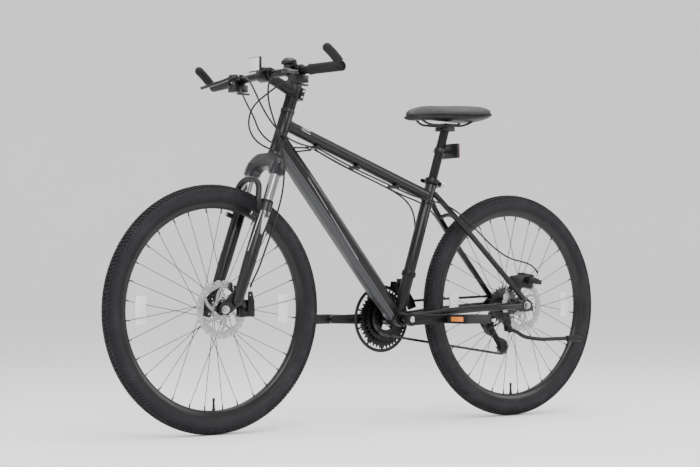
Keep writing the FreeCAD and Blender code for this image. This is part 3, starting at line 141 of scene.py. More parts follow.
class Graph:
    """A material's node tree, written as expressions."""

    def __init__(self, name: str) -> None:
        """Start a material that holds one Principled shader."""
        self.material = bpy.data.materials.new(name)
        self.material.use_nodes = True
        self.tree = self.material.node_tree
        self.tree.nodes.clear()
        output = self.tree.nodes.new("ShaderNodeOutputMaterial")
        self.shader = self.tree.nodes.new("ShaderNodeBsdfPrincipled")
        self.tree.links.new(self.shader.outputs[0], output.inputs[0])
        self.coordinates = self.tree.nodes.new("ShaderNodeTexCoord")

    def add(self, kind: str, settings: dict, inputs: dict, output: int | str = 0) -> Term:
        """Add a node.

        Args:
            kind: the node's type.
            settings: properties that are set first.
            inputs: socket name or number to a term, a number or a tuple.
            output: the output that the term stands for.

        Returns:
            The node's output as a term.
        """
        node = self.tree.nodes.new(kind)
        for name, value in settings.items():
            setattr(node, name, value)
        for name, value in inputs.items():
            self.feed(node.inputs[name], value)
        return Term(self, node.outputs[output])

    def feed(self, socket: bpy.types.NodeSocket, value: "Term | float | tuple") -> None:
        """Link a term to a socket, or set a plain value on it."""
        if isinstance(value, Term):
            self.tree.links.new(value.socket, socket)
        else:
            socket.default_value = value

    def place(self, centre: Point = (0, 0, 0), scale: Point = (1, 1, 1)) -> Term:
        """Return object coordinates moved so that a point is their origin, then scaled."""
        away = tuple(-value * factor for value, factor in zip(centre, scale))
        spot = Term(self, self.coordinates.outputs["Object"])
        return self.add("ShaderNodeMapping", {}, {"Vector": spot, "Location": away, "Scale": scale})

    def noise(self, place: Term, scale: float, detail: float = 4.0, roughness: float = 0.55) -> Term:
        """Return fractal noise from 0 to 1."""
        inputs = {"Vector": place, "Scale": scale, "Detail": detail, "Roughness": roughness}
        return self.add("ShaderNodeTexNoise", {}, inputs)

    def cells(self, place: Term, scale: float, feature: str = "DISTANCE_TO_EDGE") -> Term:
        """Return a cell pattern."""
        return self.add("ShaderNodeTexVoronoi", {"feature": feature}, {"Vector": place, "Scale": scale})

    def split(self, place: Term) -> tuple[Term, Term, Term]:
        """Return a vector's three parts."""
        node = self.add("ShaderNodeSeparateXYZ", {}, {0: place}).socket.node
        return tuple(Term(self, output) for output in node.outputs)

    def mix(self, share: "Term | float", low: Colour, high: Colour) -> Term:
        """Return a colour between two."""
        inputs = {0: share, 6: (*low, 1.0), 7: (*high, 1.0)}
        return self.add("ShaderNodeMix", {"data_type": "RGBA"}, inputs, 2)

    def bump(self, height: Term, strength: float, depth: float) -> None:
        """Feed the shader's normal from a height, in metres of depth."""
        inputs = {"Height": height, "Strength": strength, "Distance": depth}
        self.feed(self.shader.inputs["Normal"], self.add("ShaderNodeBump", {}, inputs))

    def dress(self, **values: "Term | float | tuple") -> bpy.types.Material:
        """Feed the shader's sockets, with spaces written as underscores, and return the material."""
        for name, value in values.items():
            self.feed(self.shader.inputs[name.replace("_", " ")], value)
        return self.material


# ---------------------------------------------------------------- places
def mm(x: float, y: float, z: float) -> Vector:
    """Return a point given in millimetres."""
    return Vector((x, y, z)) * MM


@dataclass(frozen=True)
class Slant:
    """A leaning line in the bike's middle plane, for points ahead of it, beside it and up along it."""

    foot: tuple[float, float]
    lean: tuple[float, float]

    def point(self, ahead: float, side: float, up: float) -> Vector:
        """Return a point given in millimetres along the line's own directions."""
        x, z = self.lean
        return mm(self.foot[0] + ahead * z + up * x, side, self.foot[1] - ahead * x + up * z)

    @property
    def along(self) -> Vector:
        """The line's upward direction."""
        return Vector((self.lean[0], 0.0, self.lean[1]))

    def matrix(self, ahead: float, side: float, up: float) -> Matrix:
        """Return a placement whose axes are the line's own, at a point."""
        x, z = self.lean
        place = Matrix(((z, 0, x, 0), (0, 1, 0, 0), (-x, 0, z, 0), (0, 0, 0, 1)))
        return Matrix.Translation(self.point(ahead, side, up)) @ place


HEAD = Slant((318, 831), (-0.3338, 0.9426))
SEAT = Slant((-95, 304), (-0.309, 0.951))
BAR_MIDDLE = (369.9, 989.95)
AXLES = {Axle.FRONT: mm(540, 0, 340), Axle.REAR: mm(-540, 0, 340)}


def bar_point(side: float) -> Vector:
    """Return the handlebar's centre at a distance to the left, in millimetres."""
    sweep = max(0.0, abs(side) - 40) / 282
    return mm(BAR_MIDDLE[0] - 28 * sweep, side, BAR_MIDDLE[1] - 3 * sweep)


TOP_TUBE = tuple((SEAT.point(0, 0, 382) - HEAD.point(0, 0, 28)).normalized())
DOWN_TUBE = tuple((mm(-86, 0, 308) - HEAD.point(0, 0, -25)).normalized())


# ---------------------------------------------------------------- finishes
@dataclass(frozen=True)
class Paint:
    """Lacquered paint with a faint orange peel and dust in its hollows."""

    name: str
    colour: Colour
    roughness: float = 0.22
    coat: float = 1.0
    coat_roughness: float = 0.06

    def make(self) -> bpy.types.Material:
        """Return the material."""
        graph = Graph(self.name)
        spot = graph.place()
        peel = graph.noise(spot, 420.0, 2.0)
        haze = graph.noise(spot, 14.0, 5.0)
        light = tuple(min(1.0, part * 1.35 + 0.004) for part in self.colour)
        graph.bump(peel, 0.12, 0.0004)
        return graph.dress(Base_Color=graph.mix(haze.ramp(0.35, 0.75), self.colour, light),
                           Roughness=haze * 0.10 + (self.roughness - 0.05),
                           Coat_Weight=self.coat, Coat_Roughness=self.coat_roughness,
                           Specular_IOR_Level=0.20)


@dataclass(frozen=True)
class StripedPaint:
    """Black lacquer with plain silver stripes along a tube and, where asked, a painted reflection of the floor:
    a grey lower face with a lighter grey line above it.
    """

    name: str
    foot: Point
    along: Point
    reach: tuple[float, float]
    middles: tuple[float, ...]
    half: float
    axis: str = "across"
    # Level below which the tube's lower face gets a painted reflection of the floor; None paints no reflection.
    painted_reflection_level: float | None = None

    def make(self) -> bpy.types.Material:
        """Return the material."""
        graph = Graph(self.name)
        spot = graph.place(tuple(self.foot), (1000.0, 1000.0, 1000.0))
        ahead, side, up = graph.split(spot)
        run = ahead * self.along[0] + side * self.along[1] + up * self.along[2]
        drop = up * self.along[0] - ahead * self.along[2]
        level = side if self.axis == "side" else drop * (1.0 if self.along[0] > 0 else -1.0)
        start, end = self.reach
        within = run.ramp(start, start + 1.0) * (run.ramp(end - 1.0, end) * -1.0 + 1.0)
        streak = graph.noise(graph.place(scale=(30.0, 30.0, 30.0)), 1.0, 3.0)
        marks = within * 0.0
        for number, middle in enumerate(self.middles):
            shift = (run - start) * (0.05 if number % 2 else -0.04) + middle
            gap = (level - shift) * (level - shift)
            edge = self.half * self.half
            marks = marks + (gap.ramp(edge * 0.8, edge * 1.2) * -1.0 + 1.0) * within
        marks = marks.ramp(0.0, 1.0) * streak.ramp(0.30, 0.42)
        base = graph.mix(marks, (0.006, 0.006, 0.007), (0.42, 0.43, 0.45))
        # Painted reflection of the floor: grey below the level, then a black gap, then a lighter grey line.
        if self.painted_reflection_level is not None:
            low = level.ramp(self.painted_reflection_level - 0.4, self.painted_reflection_level + 0.4) * -1.0 + 1.0
            line = (level.ramp(self.painted_reflection_level + 1.6, self.painted_reflection_level + 2.0)
                    * (level.ramp(self.painted_reflection_level + 3.0, self.painted_reflection_level + 3.4) * -1.0 + 1.0))
            shade = graph.add("ShaderNodeMix", {"data_type": "RGBA"},
                              {0: low, 6: base, 7: (0.040, 0.041, 0.044, 1.0)}, 2)
            base = graph.add("ShaderNodeMix", {"data_type": "RGBA"},
                             {0: line, 6: shade, 7: (0.10, 0.102, 0.108, 1.0)}, 2)
        peel = graph.noise(graph.place(), 420.0, 2.0)
        graph.bump(peel, 0.12, 0.0004)
        return graph.dress(Base_Color=base, Roughness=streak * 0.10 + 0.28, Coat_Weight=0.22,
                           Coat_Roughness=0.14, Specular_IOR_Level=0.20)


@dataclass(frozen=True)
class Metal:
    """Bare, plated or anodised metal with fine lines left by its making."""

    name: str
    colour: Colour
    roughness: float = 0.28
    stretch: Point = (60.0, 60.0, 900.0)
    metallic: float = 1.0
    grime: float = 0.25

    def make(self) -> bpy.types.Material:
        """Return the material."""
        graph = Graph(self.name)
        lines = graph.noise(graph.place(scale=self.stretch), 1.0, 3.0)
        patches = graph.noise(graph.place(), 38.0, 5.0)
        dull = tuple(part * (1 - self.grime) for part in self.colour)
        graph.bump(lines, 0.06, 0.0003)
        return graph.dress(Base_Color=graph.mix(patches.ramp(0.4, 0.7), self.colour, dull),
                           Metallic=self.metallic,
                           Roughness=patches * 0.14 + lines * 0.06 + (self.roughness - 0.1))


@dataclass(frozen=True)
class TurnedMetal:
    """Metal brushed in circles round an axle, as brake rotors are."""

    name: str
    colour: Colour
    centre: Point
    roughness: float = 0.24

    def make(self) -> bpy.types.Material:
        """Return the material."""
        graph = Graph(self.name)
        across, _, up = graph.split(graph.place(self.centre))
        radius = (across * across + up * up) ** 0.5
        rings = graph.add("ShaderNodeTexNoise", {"noise_dimensions": "1D"}, {"W": radius, "Scale": 2600.0})
        heat = radius.ramp(0.060, 0.072)
        worn = tuple(part * 0.82 for part in self.colour)
        graph.bump(rings, 0.10, 0.0003)
        return graph.dress(Base_Color=graph.mix(heat, worn, self.colour), Metallic=1.0,
                           Roughness=rings * 0.16 + self.roughness - 0.06)


@dataclass(frozen=True)
class Plastic:
    """Moulded plastic with a fine spark-eroded grain."""

    name: str
    colour: Colour
    roughness: float = 0.42
    grain: float = 900.0

    def make(self) -> bpy.types.Material:
        """Return the material."""
        graph = Graph(self.name)
        spot = graph.place()
        grain = graph.noise(spot, self.grain, 2.0)
        wear = graph.noise(spot, 30.0, 5.0)
        light = tuple(part * 1.5 + 0.006 for part in self.colour)
        graph.bump(grain, 0.25, 0.0004)
        return graph.dress(Base_Color=graph.mix(wear.ramp(0.45, 0.75), self.colour, light),
                           Roughness=wear * 0.16 + self.roughness - 0.06, Specular_IOR_Level=0.26)


@dataclass(frozen=True)
class Rubber:
    """Rubber that is dull, slightly dusty and grained."""

    name: str
    colour: Colour
    dust: Colour
    roughness: float = 0.74
    grain: float = 650.0

    def make(self) -> bpy.types.Material:
        """Return the material."""
        graph = Graph(self.name)
        spot = graph.place()
        grain = graph.noise(spot, self.grain, 3.0)
        dust = graph.noise(spot, 22.0, 6.0, 0.65)
        graph.bump(grain, 0.30, 0.0005)
        return graph.dress(Base_Color=graph.mix(dust.ramp(0.45, 0.8), self.colour, self.dust),
                           Roughness=dust * 0.14 + self.roughness - 0.07, Specular_IOR_Level=0.18)


@dataclass(frozen=True)
class Vinyl:
    """Saddle cover with a pebbled leather grain."""

    name: str
    colour: Colour

    def make(self) -> bpy.types.Material:
        """Return the material."""
        graph = Graph(self.name)
        spot = graph.place()
        warp = graph.noise(spot, 160.0, 2.0)
        pebble = graph.cells(spot, 620.0)
        shine = graph.noise(spot, 12.0, 4.0)
        light = tuple(part * 1.5 + 0.01 for part in self.colour)
        graph.bump(pebble.ramp(0.0, 0.18) + warp * 0.4, 0.35, 0.0006)
        return graph.dress(Base_Color=graph.mix(pebble.ramp(0.0, 0.12), self.colour, light),
                           Roughness=shine * 0.20 + 0.32)


@dataclass(frozen=True)
class PrismLens:
    """Reflector plastic moulded into small corner prisms, with a painted glint on the prism ridges."""

    name: str
    colour: Colour
    pitch: float = 0.0032
    clear: float = 0.0

    def make(self) -> bpy.types.Material:
        """Return the material."""
        graph = Graph(self.name)
        across, deep, up = graph.split(graph.place())
        turn = 2 * math.pi / self.pitch
        one = (up * turn).sine()
        two = ((across + deep) * (turn * 0.866) + up * (turn * 0.5)).sine()
        three = ((across + deep) * (turn * 0.866) - up * (turn * 0.5)).sine()
        facets = (one + two + three) * 0.166 + 0.5
        # Painted glint: the lens colour turns lighter where the prism pattern is highest.
        painted_glint_colour = tuple(min(1.0, part * 1.6 + 0.05) for part in self.colour)
        graph.bump(facets, 0.8, 0.0012)
        return graph.dress(Base_Color=graph.mix(facets.ramp(0.35, 0.8), self.colour, painted_glint_colour), Roughness=0.12,
                           Metallic=0.35 * self.clear, Coat_Weight=0.8)


@dataclass(frozen=True)
class GreasyChain:
    """Chain steel with oil held in its joints."""

    name: str
    colour: Colour

    def make(self) -> bpy.types.Material:
        """Return the material."""
        graph = Graph(self.name)
        oil = graph.noise(graph.place(), 120.0, 5.0, 0.7)
        dark = tuple(part * 0.28 for part in self.colour)
        return graph.dress(Base_Color=graph.mix(oil.ramp(0.4, 0.66), self.colour, dark), Metallic=0.95,
                           Roughness=oil * 0.3 + 0.2)


@dataclass
class Finishes:
    """Every material of the bike, made once."""

    made: dict[str, bpy.types.Material] = field(default_factory=dict)

    def __post_init__(self) -> None:
        """Make the materials."""
        for finish in (
            Paint("frame_gloss_black", (0.003, 0.003, 0.0035), 0.30, 0.22, 0.14),
            StripedPaint("top_tube_paint", HEAD.point(0, 0, 28), TOP_TUBE, (52.0, 84.0), (3.0, 8.5, 13.0), 0.9),
            # The down tube carries a painted reflection of the floor on its lower face.
            StripedPaint("down_tube_paint", HEAD.point(0, 0, -25), DOWN_TUBE, (130.0, 420.0), (2.0, 14.0), 0.5,
                         painted_reflection_level=-14.0),
            StripedPaint("lower_leg_paint", HEAD.point(0, 0, -235), tuple(-HEAD.along), (10.0, 130.0),
                         (-78.0, -72.0, 72.0, 78.0), 1.3, "side"),
            Paint("rim_black", (0.005, 0.005, 0.0055), 0.30, 0.2, 0.2),
            Metal("stanchion_silver", (0.30, 0.30, 0.31), 0.20, (40.0, 40.0, 300.0), grime=0.12),
            Metal("crown_silver", (0.045, 0.045, 0.048), 0.30, (120.0, 120.0, 120.0)),
            Metal("crown_grey", (0.040, 0.040, 0.043), 0.30, (120.0, 120.0, 120.0), metallic=0.8),
            Metal("black_anodised", (0.012, 0.012, 0.013), 0.36, (200.0, 200.0, 200.0), metallic=0.7),
            Metal("spoke_black", (0.035, 0.035, 0.037), 0.30, (300.0, 300.0, 300.0), metallic=0.8),
            Metal("bolt_steel", (0.50, 0.50, 0.51), 0.26, (300.0, 300.0, 300.0)),
            Metal("cog_steel", (0.10, 0.10, 0.10), 0.34, (300.0, 300.0, 300.0), grime=0.5),
            Metal("ring_steel", (0.030, 0.030, 0.032), 0.36, (300.0, 300.0, 300.0), grime=0.3),
            Metal("lever_black", (0.03, 0.03, 0.032), 0.26, (400.0, 80.0, 400.0), metallic=0.6),
            TurnedMetal("front_rotor_steel", (0.42, 0.42, 0.42), tuple(centre_of("front_rotor"))),
            TurnedMetal("rear_rotor_steel", (0.42, 0.42, 0.42), tuple(centre_of("rear_rotor"))),
            Plastic("black_plastic", (0.008, 0.008, 0.009)),
            Plastic("glossy_plastic", (0.010, 0.010, 0.011), 0.22, 300.0),
            Plastic("housing_plastic", (0.009, 0.009, 0.010), 0.30, 1500.0),
            Rubber("tyre_rubber", (0.012, 0.012, 0.014), (0.024, 0.024, 0.026), 0.62),
            Rubber("tread_rubber", (0.014, 0.014, 0.016), (0.034, 0.034, 0.036), 0.60),
            Rubber("grip_rubber", (0.010, 0.010, 0.011), (0.022, 0.022, 0.024), 0.58),
            Vinyl("saddle_vinyl", (0.012, 0.012, 0.014)),
            PrismLens("lens_clear", (0.62, 0.64, 0.66), clear=1.0),
            PrismLens("lens_amber", (0.62, 0.17, 0.012)),
            PrismLens("lens_red", (0.42, 0.01, 0.012)),
            GreasyChain("chain_steel", (0.085, 0.082, 0.080)),
        ):
            self.made[finish.name] = finish.make()

    def __getitem__(self, name: str) -> bpy.types.Material:
        """Return a material by name."""
        return self.made[name]


# ---------------------------------------------------------------- mesh helpers
def centre_of(node: str) -> Vector:
    """Return the middle of a CAD node's box."""
    low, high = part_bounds(node)
    return (low + high) / 2


def new_object(name: str, mesh: bpy.types.Mesh, material: bpy.types.Material | None = None) -> bpy.types.Object:
    """Put a mesh into the scene under a name, with a material."""
    thing = bpy.data.objects.new(name, mesh)
    bpy.context.scene.collection.objects.link(thing)
    if material:
        mesh.materials.clear()
        mesh.materials.append(material)
    return thing


def from_bmesh(name: str, shape: bmesh.types.BMesh, material: bpy.types.Material | None = None,
               outward: bool = True) -> bpy.types.Object:
    """Turn a bmesh into an object, with doubles merged and faces pointing outwards."""
    bmesh.ops.remove_doubles(shape, verts=shape.verts, dist=1e-6)
    if outward:
        bmesh.ops.recalc_face_normals(shape, faces=shape.faces)
    mesh = bpy.data.meshes.new(name)
    shape.to_mesh(mesh)
    shape.free()
    return new_object(name, mesh, material)


def baked(thing: bpy.types.Object) -> bpy.types.Object:
    """Apply an object's modifiers to its mesh."""
    evaluated = thing.evaluated_get(bpy.context.evaluated_depsgraph_get())
    mesh = bpy.data.meshes.new_from_object(evaluated)
    mesh.name = thing.name
    thing.modifiers.clear()
    thing.data = mesh
    return thing


def smooth(thing: bpy.types.Object, angle: float = 35.0) -> bpy.types.Object:
    """Shade an object smooth but for edges sharper than an angle in degrees."""
    mesh = thing.data
    mesh.polygons.foreach_set("use_smooth", [True] * len(mesh.polygons))
    shape = bmesh.new()
    shape.from_mesh(mesh)
    limit = math.radians(angle)
    for edge in shape.edges:
        edge.smooth = len(edge.link_faces) == 2 and edge.calc_face_angle(0.0) < limit
    shape.to_mesh(mesh)
    shape.free()
    return thing


def bevelled(thing: bpy.types.Object, width: float, segments: int = 2, angle: float = 35.0) -> bpy.types.Object:
    """Round an object's sharp edges and shade it."""
    modifier = thing.modifiers.new("edges", "BEVEL")
    modifier.width = width
    modifier.segments = segments
    modifier.limit_method = "ANGLE"
    modifier.angle_limit = math.radians(angle)
    modifier.use_clamp_overlap = True
    modifier.harden_normals = False
    return smooth(baked(thing), 40.0)


def lathe(name: str, outline: Sequence[tuple[float, float]], centre: Vector, steps: int,
          material: bpy.types.Material, closed: bool = True) -> bpy.types.Object:
    """Turn an outline of (radius, y) round the Y axis through a centre."""
    shape = bmesh.new()
    rings = []
    for step in range(steps):
        turn = 2 * math.pi * step / steps
        rings.append([shape.verts.new(centre + Vector((radius * math.cos(turn), y, radius * math.sin(turn))))
                      for radius, y in outline])
    count = len(outline) if closed else len(outline) - 1
    for before, here in zip(rings, rings[1:] + rings[:1]):
        for index in range(count):
            after = (index + 1) % len(outline)
            shape.faces.new((before[index], before[after], here[after], here[index]))
    return from_bmesh(name, shape, material)


def box_shape(shape: bmesh.types.BMesh, size: Point, place: Matrix) -> None:
    """Add a box of a size to a bmesh at a placement."""
    bmesh.ops.create_cube(shape, size=1.0, matrix=place @ Matrix.Diagonal((*size, 1.0)))


def tube_shape(shape: bmesh.types.BMesh, start: Vector, end: Vector, radius: float, sides: int = 12) -> None:
    """Add a straight rod to a bmesh."""
    along = end - start
    turn = along.to_track_quat("Z", "Y").to_matrix().to_4x4()
    place = Matrix.Translation((start + end) / 2) @ turn
    bmesh.ops.create_cone(shape, cap_ends=True, segments=sides, radius1=radius, radius2=radius,
                          depth=along.length, matrix=place)


def loose_parts(node: str) -> list[bmesh.types.BMesh]:
    """Return a CAD node's separate solids, merged, with flat faces rejoined."""
    whole = bmesh.new()
    whole.from_mesh(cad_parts[node].data)
    bmesh.ops.remove_doubles(whole, verts=whole.verts, dist=2e-6)
    bmesh.ops.dissolve_limit(whole, angle_limit=math.radians(0.6), verts=whole.verts, edges=whole.edges)
    seen: set[int] = set()
    parts = []
    whole.verts.ensure_lookup_table()
    for start in whole.verts:
        if start.index in seen:
            continue
        group = {start.index}
        stack = [start]
        while stack:
            for edge in stack.pop().link_edges:
                for vert in edge.verts:
                    if vert.index not in group:
                        group.add(vert.index)
                        stack.append(vert)
        seen |= group
        part = bmesh.new()
        made = {index: part.verts.new(whole.verts[index].co) for index in sorted(group)}
        faces = {face for index in group for face in whole.verts[index].link_faces}
        for face in sorted(faces, key=lambda item: item.index):
            part.faces.new([made[vert.index] for vert in face.verts])
        parts.append(part)
    whole.free()
    return parts


def part_box(part: bmesh.types.BMesh) -> tuple[Vector, Vector]:
    """Return the middle and the size of a bmesh."""
    low = Vector([min(vert.co[axis] for vert in part.verts) for axis in range(3)])
    high = Vector([max(vert.co[axis] for vert in part.verts) for axis in range(3)])
    return (low + high) / 2, high - low


Chooser = Callable[[Vector, Vector], tuple[str, float] | None]


def always(material: str, edge: float) -> Chooser:
    """Return a chooser that gives every part of a node the same finish and edge."""
    return lambda middle, size: (material, edge)


def refine(node: str, body: str, finishes: Finishes, choose: Chooser) -> list[bpy.types.Object]:
    """Stand for a CAD node with its own solids, each rounded and dressed.

    Args:
        node: the CAD node.
        body: the body that it moves with.
        finishes: the materials.
        choose: gives a solid's material and edge radius from its middle and size, or None to leave it out.

    Returns:
        The pieces made.
    """
    groups: dict[tuple[str, float], list[bmesh.types.BMesh]] = {}
    for part in loose_parts(node):
        choice = choose(*part_box(part))
        if choice is None:
            part.free()
        else:
            groups.setdefault(choice, []).append(part)
    pieces = []
    for number, ((material, width), parts) in enumerate(groups.items()):
        joined = bmesh.new()
        for part in parts:
            mesh = bpy.data.meshes.new("part")
            part.to_mesh(mesh)
            part.free()
            joined.from_mesh(mesh)
            bpy.data.meshes.remove(mesh)
        name = "%s_%s" % (node, material) if len(groups) > 1 else node + "_finished"
        piece = from_bmesh(name + ("_%d" % number if len(groups) > 2 else ""), joined, finishes[material], False)
        pieces.append(bevelled(piece, width) if width else smooth(piece))
        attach(pieces[-1], body)
        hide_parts(node)
    LOG.info("%s: %d pieces", node, len(pieces))
    return pieces


# ---------------------------------------------------------------- geometry nodes
class Repeater:
    """A Geometry Nodes tree that repeats a unit round the Y axis and realises the copies."""

    def __init__(self) -> None:
        """Build the tree once."""
        tree = bpy.data.node_groups.new("repeat_round_axle", "GeometryNodeTree")
        face = tree.interface
        face.new_socket("Geometry", in_out="INPUT", socket_type="NodeSocketGeometry")
        face.new_socket("Count", in_out="INPUT", socket_type="NodeSocketInt")
        face.new_socket("Start", in_out="INPUT", socket_type="NodeSocketFloat")
        face.new_socket("Material", in_out="INPUT", socket_type="NodeSocketMaterial")
        face.new_socket("Geometry", in_out="OUTPUT", socket_type="NodeSocketGeometry")
        nodes = tree.nodes
        link = tree.links.new
        enter = nodes.new("NodeGroupInput")
        leave = nodes.new("NodeGroupOutput")
        points = nodes.new("GeometryNodePoints")
        link(enter.outputs["Count"], points.inputs["Count"])
        index = nodes.new("GeometryNodeInputIndex")
        share = nodes.new("ShaderNodeMath")
        share.operation = "DIVIDE"
        link(index.outputs[0], share.inputs[0])
        link(enter.outputs["Count"], share.inputs[1])
        turn = nodes.new("ShaderNodeMath")
        turn.operation = "MULTIPLY_ADD"
        link(share.outputs[0], turn.inputs[0])
        turn.inputs[1].default_value = 2 * math.pi
        link(enter.outputs["Start"], turn.inputs[2])
        spin = nodes.new("ShaderNodeCombineXYZ")
        link(turn.outputs[0], spin.inputs[1])
        copy = nodes.new("GeometryNodeInstanceOnPoints")
        link(points.outputs[0], copy.inputs["Points"])
        link(enter.outputs["Geometry"], copy.inputs["Instance"])
        link(spin.outputs[0], copy.inputs["Rotation"])
        real = nodes.new("GeometryNodeRealizeInstances")
        link(copy.outputs[0], real.inputs[0])
        dress = nodes.new("GeometryNodeSetMaterial")
        link(real.outputs[0], dress.inputs["Geometry"])
        link(enter.outputs["Material"], dress.inputs["Material"])
        link(dress.outputs[0], leave.inputs[0])
        self.tree = tree
        self.sockets = {item.name: item.identifier for item in face.items_tree if item.in_out == "INPUT"}

    def around(self, unit: bpy.types.Object, count: int, centre: Vector, material: bpy.types.Material,
               start: float = 0.0) -> bpy.types.Object:
        """Repeat a unit that stands relative to an axle at the origin.

        Args:
            unit: the object that holds one copy.
            count: how many copies go round.
            centre: where the axle really is.
            material: the copies' material.
            start: the first copy's turn, in radians.

        Returns:
            The unit's object, which now holds every copy in place.
        """
        modifier = unit.modifiers.new("round", "NODES")
        modifier.node_group = self.tree
        modifier[self.sockets["Count"]] = count
        modifier[self.sockets["Start"]] = start
        modifier[self.sockets["Material"]] = material
        baked(unit)
        unit.data.transform(Matrix.Translation(centre))
        return unit


class Placer:
    """A Geometry Nodes tree that puts a unit on points, turned by each point's own attribute."""

    def __init__(self) -> None:
        """Build the tree once."""
        tree = bpy.data.node_groups.new("place_on_points", "GeometryNodeTree")
        face = tree.interface
        face.new_socket("Geometry", in_out="INPUT", socket_type="NodeSocketGeometry")
        face.new_socket("Unit", in_out="INPUT", socket_type="NodeSocketObject")
        face.new_socket("Material", in_out="INPUT", socket_type="NodeSocketMaterial")
        face.new_socket("Geometry", in_out="OUTPUT", socket_type="NodeSocketGeometry")
        nodes = tree.nodes
        link = tree.links.new
        enter = nodes.new("NodeGroupInput")
        leave = nodes.new("NodeGroupOutput")
        unit = nodes.new("GeometryNodeObjectInfo")
        link(enter.outputs["Unit"], unit.inputs["Object"])
        turn = nodes.new("GeometryNodeInputNamedAttribute")
        turn.data_type = "FLOAT_VECTOR"
        turn.inputs["Name"].default_value = "turn"
        copy = nodes.new("GeometryNodeInstanceOnPoints")
        link(enter.outputs["Geometry"], copy.inputs["Points"])
        link(unit.outputs["Geometry"], copy.inputs["Instance"])
        link(turn.outputs[0], copy.inputs["Rotation"])
        real = nodes.new("GeometryNodeRealizeInstances")
        link(copy.outputs[0], real.inputs[0])
        dress = nodes.new("GeometryNodeSetMaterial")
        link(real.outputs[0], dress.inputs["Geometry"])
        link(enter.outputs["Material"], dress.inputs["Material"])
        link(dress.outputs[0], leave.inputs[0])
        self.tree = tree
        self.sockets = {item.name: item.identifier for item in face.items_tree if item.in_out == "INPUT"}

    def place(self, name: str, unit: bpy.types.Object, places: Iterable[Matrix],
              material: bpy.types.Material) -> bpy.types.Object:
        """Put a unit at each placement and return the joined copies; the unit is removed."""
        spots = list(places)
        mesh = bpy.data.meshes.new(name)
        mesh.from_pydata([tuple(place.translation) for place in spots], [], [])
        turns = mesh.attributes.new("turn", "FLOAT_VECTOR", "POINT")
        for item, place in zip(turns.data, spots):
            item.vector = place.to_euler()
        thing = new_object(name, mesh)
        modifier = thing.modifiers.new("points", "NODES")
        modifier.node_group = self.tree
        modifier[self.sockets["Unit"]] = unit
        modifier[self.sockets["Material"]] = material
        baked(thing)
        bpy.data.objects.remove(unit)
        return thing


@dataclass
class Shop:
    """What every sub-assembly needs to build its pieces."""

    finishes: Finishes
    repeater: Repeater
    placer: Placer

    def ride(self, piece: bpy.types.Object, body: str, *nodes: str) -> bpy.types.Object:
        """Let a piece move with a body and stand for CAD nodes."""
        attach(piece, body)
        if nodes:
            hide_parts(*nodes)
        LOG.info("%s rides on %s", piece.name, body)
        return piece


# ---------------------------------------------------------------- studio
@dataclass
class Studio:
    """Pale sweep, soft lights and the camera."""

    eye: Point = (3.0014, 3.928, 0.42785)
    turn: float = -2.2106
    pitch: float = 0.0255
    roll: float = -0.0014
    lens: float = 87.41

    def build(self) -> None:
        """Make the studio."""
        self._camera()
        self._sweep()
        world = bpy.data.worlds.new("pale_room")
        world.use_nodes = True
        world.node_tree.nodes["Background"].inputs[0].default_value = (1.0, 1.0, 1.0, 1.0)
        world.node_tree.nodes["Background"].inputs[1].default_value = 1.25
        bpy.context.scene.world = world
        self._panel("key", (1.6, 3.4, 3.4), (0.1, 0.0, 0.6), 3.2, 150.0)
        self._panel("top", (-0.2, 0.3, 3.6), (0.0, 0.0, 0.5), 3.0, 90.0)
        self._panel("front", (4.2, 0.4, 1.6), (0.3, 0.0, 0.6), 1.6, 34.0)
        self._panel("back", (-3.2, 2.6, 1.8), (-0.4, 0.0, 0.5), 1.8, 40.0)

    def _camera(self) -> None:
        """Put the camera at its place."""
        camera = bpy.data.cameras.new("camera")
        camera.lens = self.lens
        camera.sensor_width = 36.0
        camera.clip_end = 60.0
        view = bpy.data.objects.new("camera", camera)
        look = Vector((math.cos(self.turn) * math.cos(self.pitch),
                       math.sin(self.turn) * math.cos(self.pitch), math.sin(self.pitch)))
        facing = look.to_track_quat("-Z", "Y").to_matrix()
        rolled = facing @ Matrix.Rotation(self.roll, 3, "Z")
        view.matrix_world = Matrix.Translation(self.eye) @ rolled.to_4x4()
        bpy.context.scene.collection.objects.link(view)
        bpy.context.scene.camera = view

    def _sweep(self) -> None:
        """Make the floor that curves up into a round wall."""
        outline = [(0.001, 0.0), (16.0, 0.0)]
        outline += [(16.0 + 4.0 * math.sin(step * math.pi / 24), 4.0 - 4.0 * math.cos(step * math.pi / 24))
                    for step in range(1, 13)]
        outline.append((20.0, 14.0))
        shape = bmesh.new()
        rings = []
        for step in range(96):
            turn = 2 * math.pi * step / 96
            rings.append([shape.verts.new((r * math.cos(turn), r * math.sin(turn), z)) for r, z in outline])
        for before, here in zip(rings, rings[1:] + rings[:1]):
            for index in range(len(outline) - 1):
                shape.faces.new((before[index], before[index + 1], here[index + 1], here[index]))
        graph = Graph("pale_sweep")
        shade = graph.noise(graph.place(), 0.6, 2.0)
        tone = graph.mix(shade, (0.90, 0.90, 0.90), (0.94, 0.94, 0.94))
        finish = graph.dress(Base_Color=tone, Roughness=0.75)
        floor = smooth(from_bmesh("sweep", shape, finish, False), 60.0)

    def _panel(self, name: str, place: Point, aim: Point, size: float, power: float) -> None:
        """Hang a soft panel that faces a point."""
        light = bpy.data.lights.new(name, "AREA")
        light.shape = "DISK"
        light.size = size
        light.energy = power
        lamp = bpy.data.objects.new(name, light)
        lamp.location = place
        lamp.rotation_euler = (Vector(aim) - Vector(place)).to_track_quat("-Z", "Y").to_euler()
        bpy.context.scene.collection.objects.link(lamp)


# ---------------------------------------------------------------- cables
Route = tuple[Point, ...]


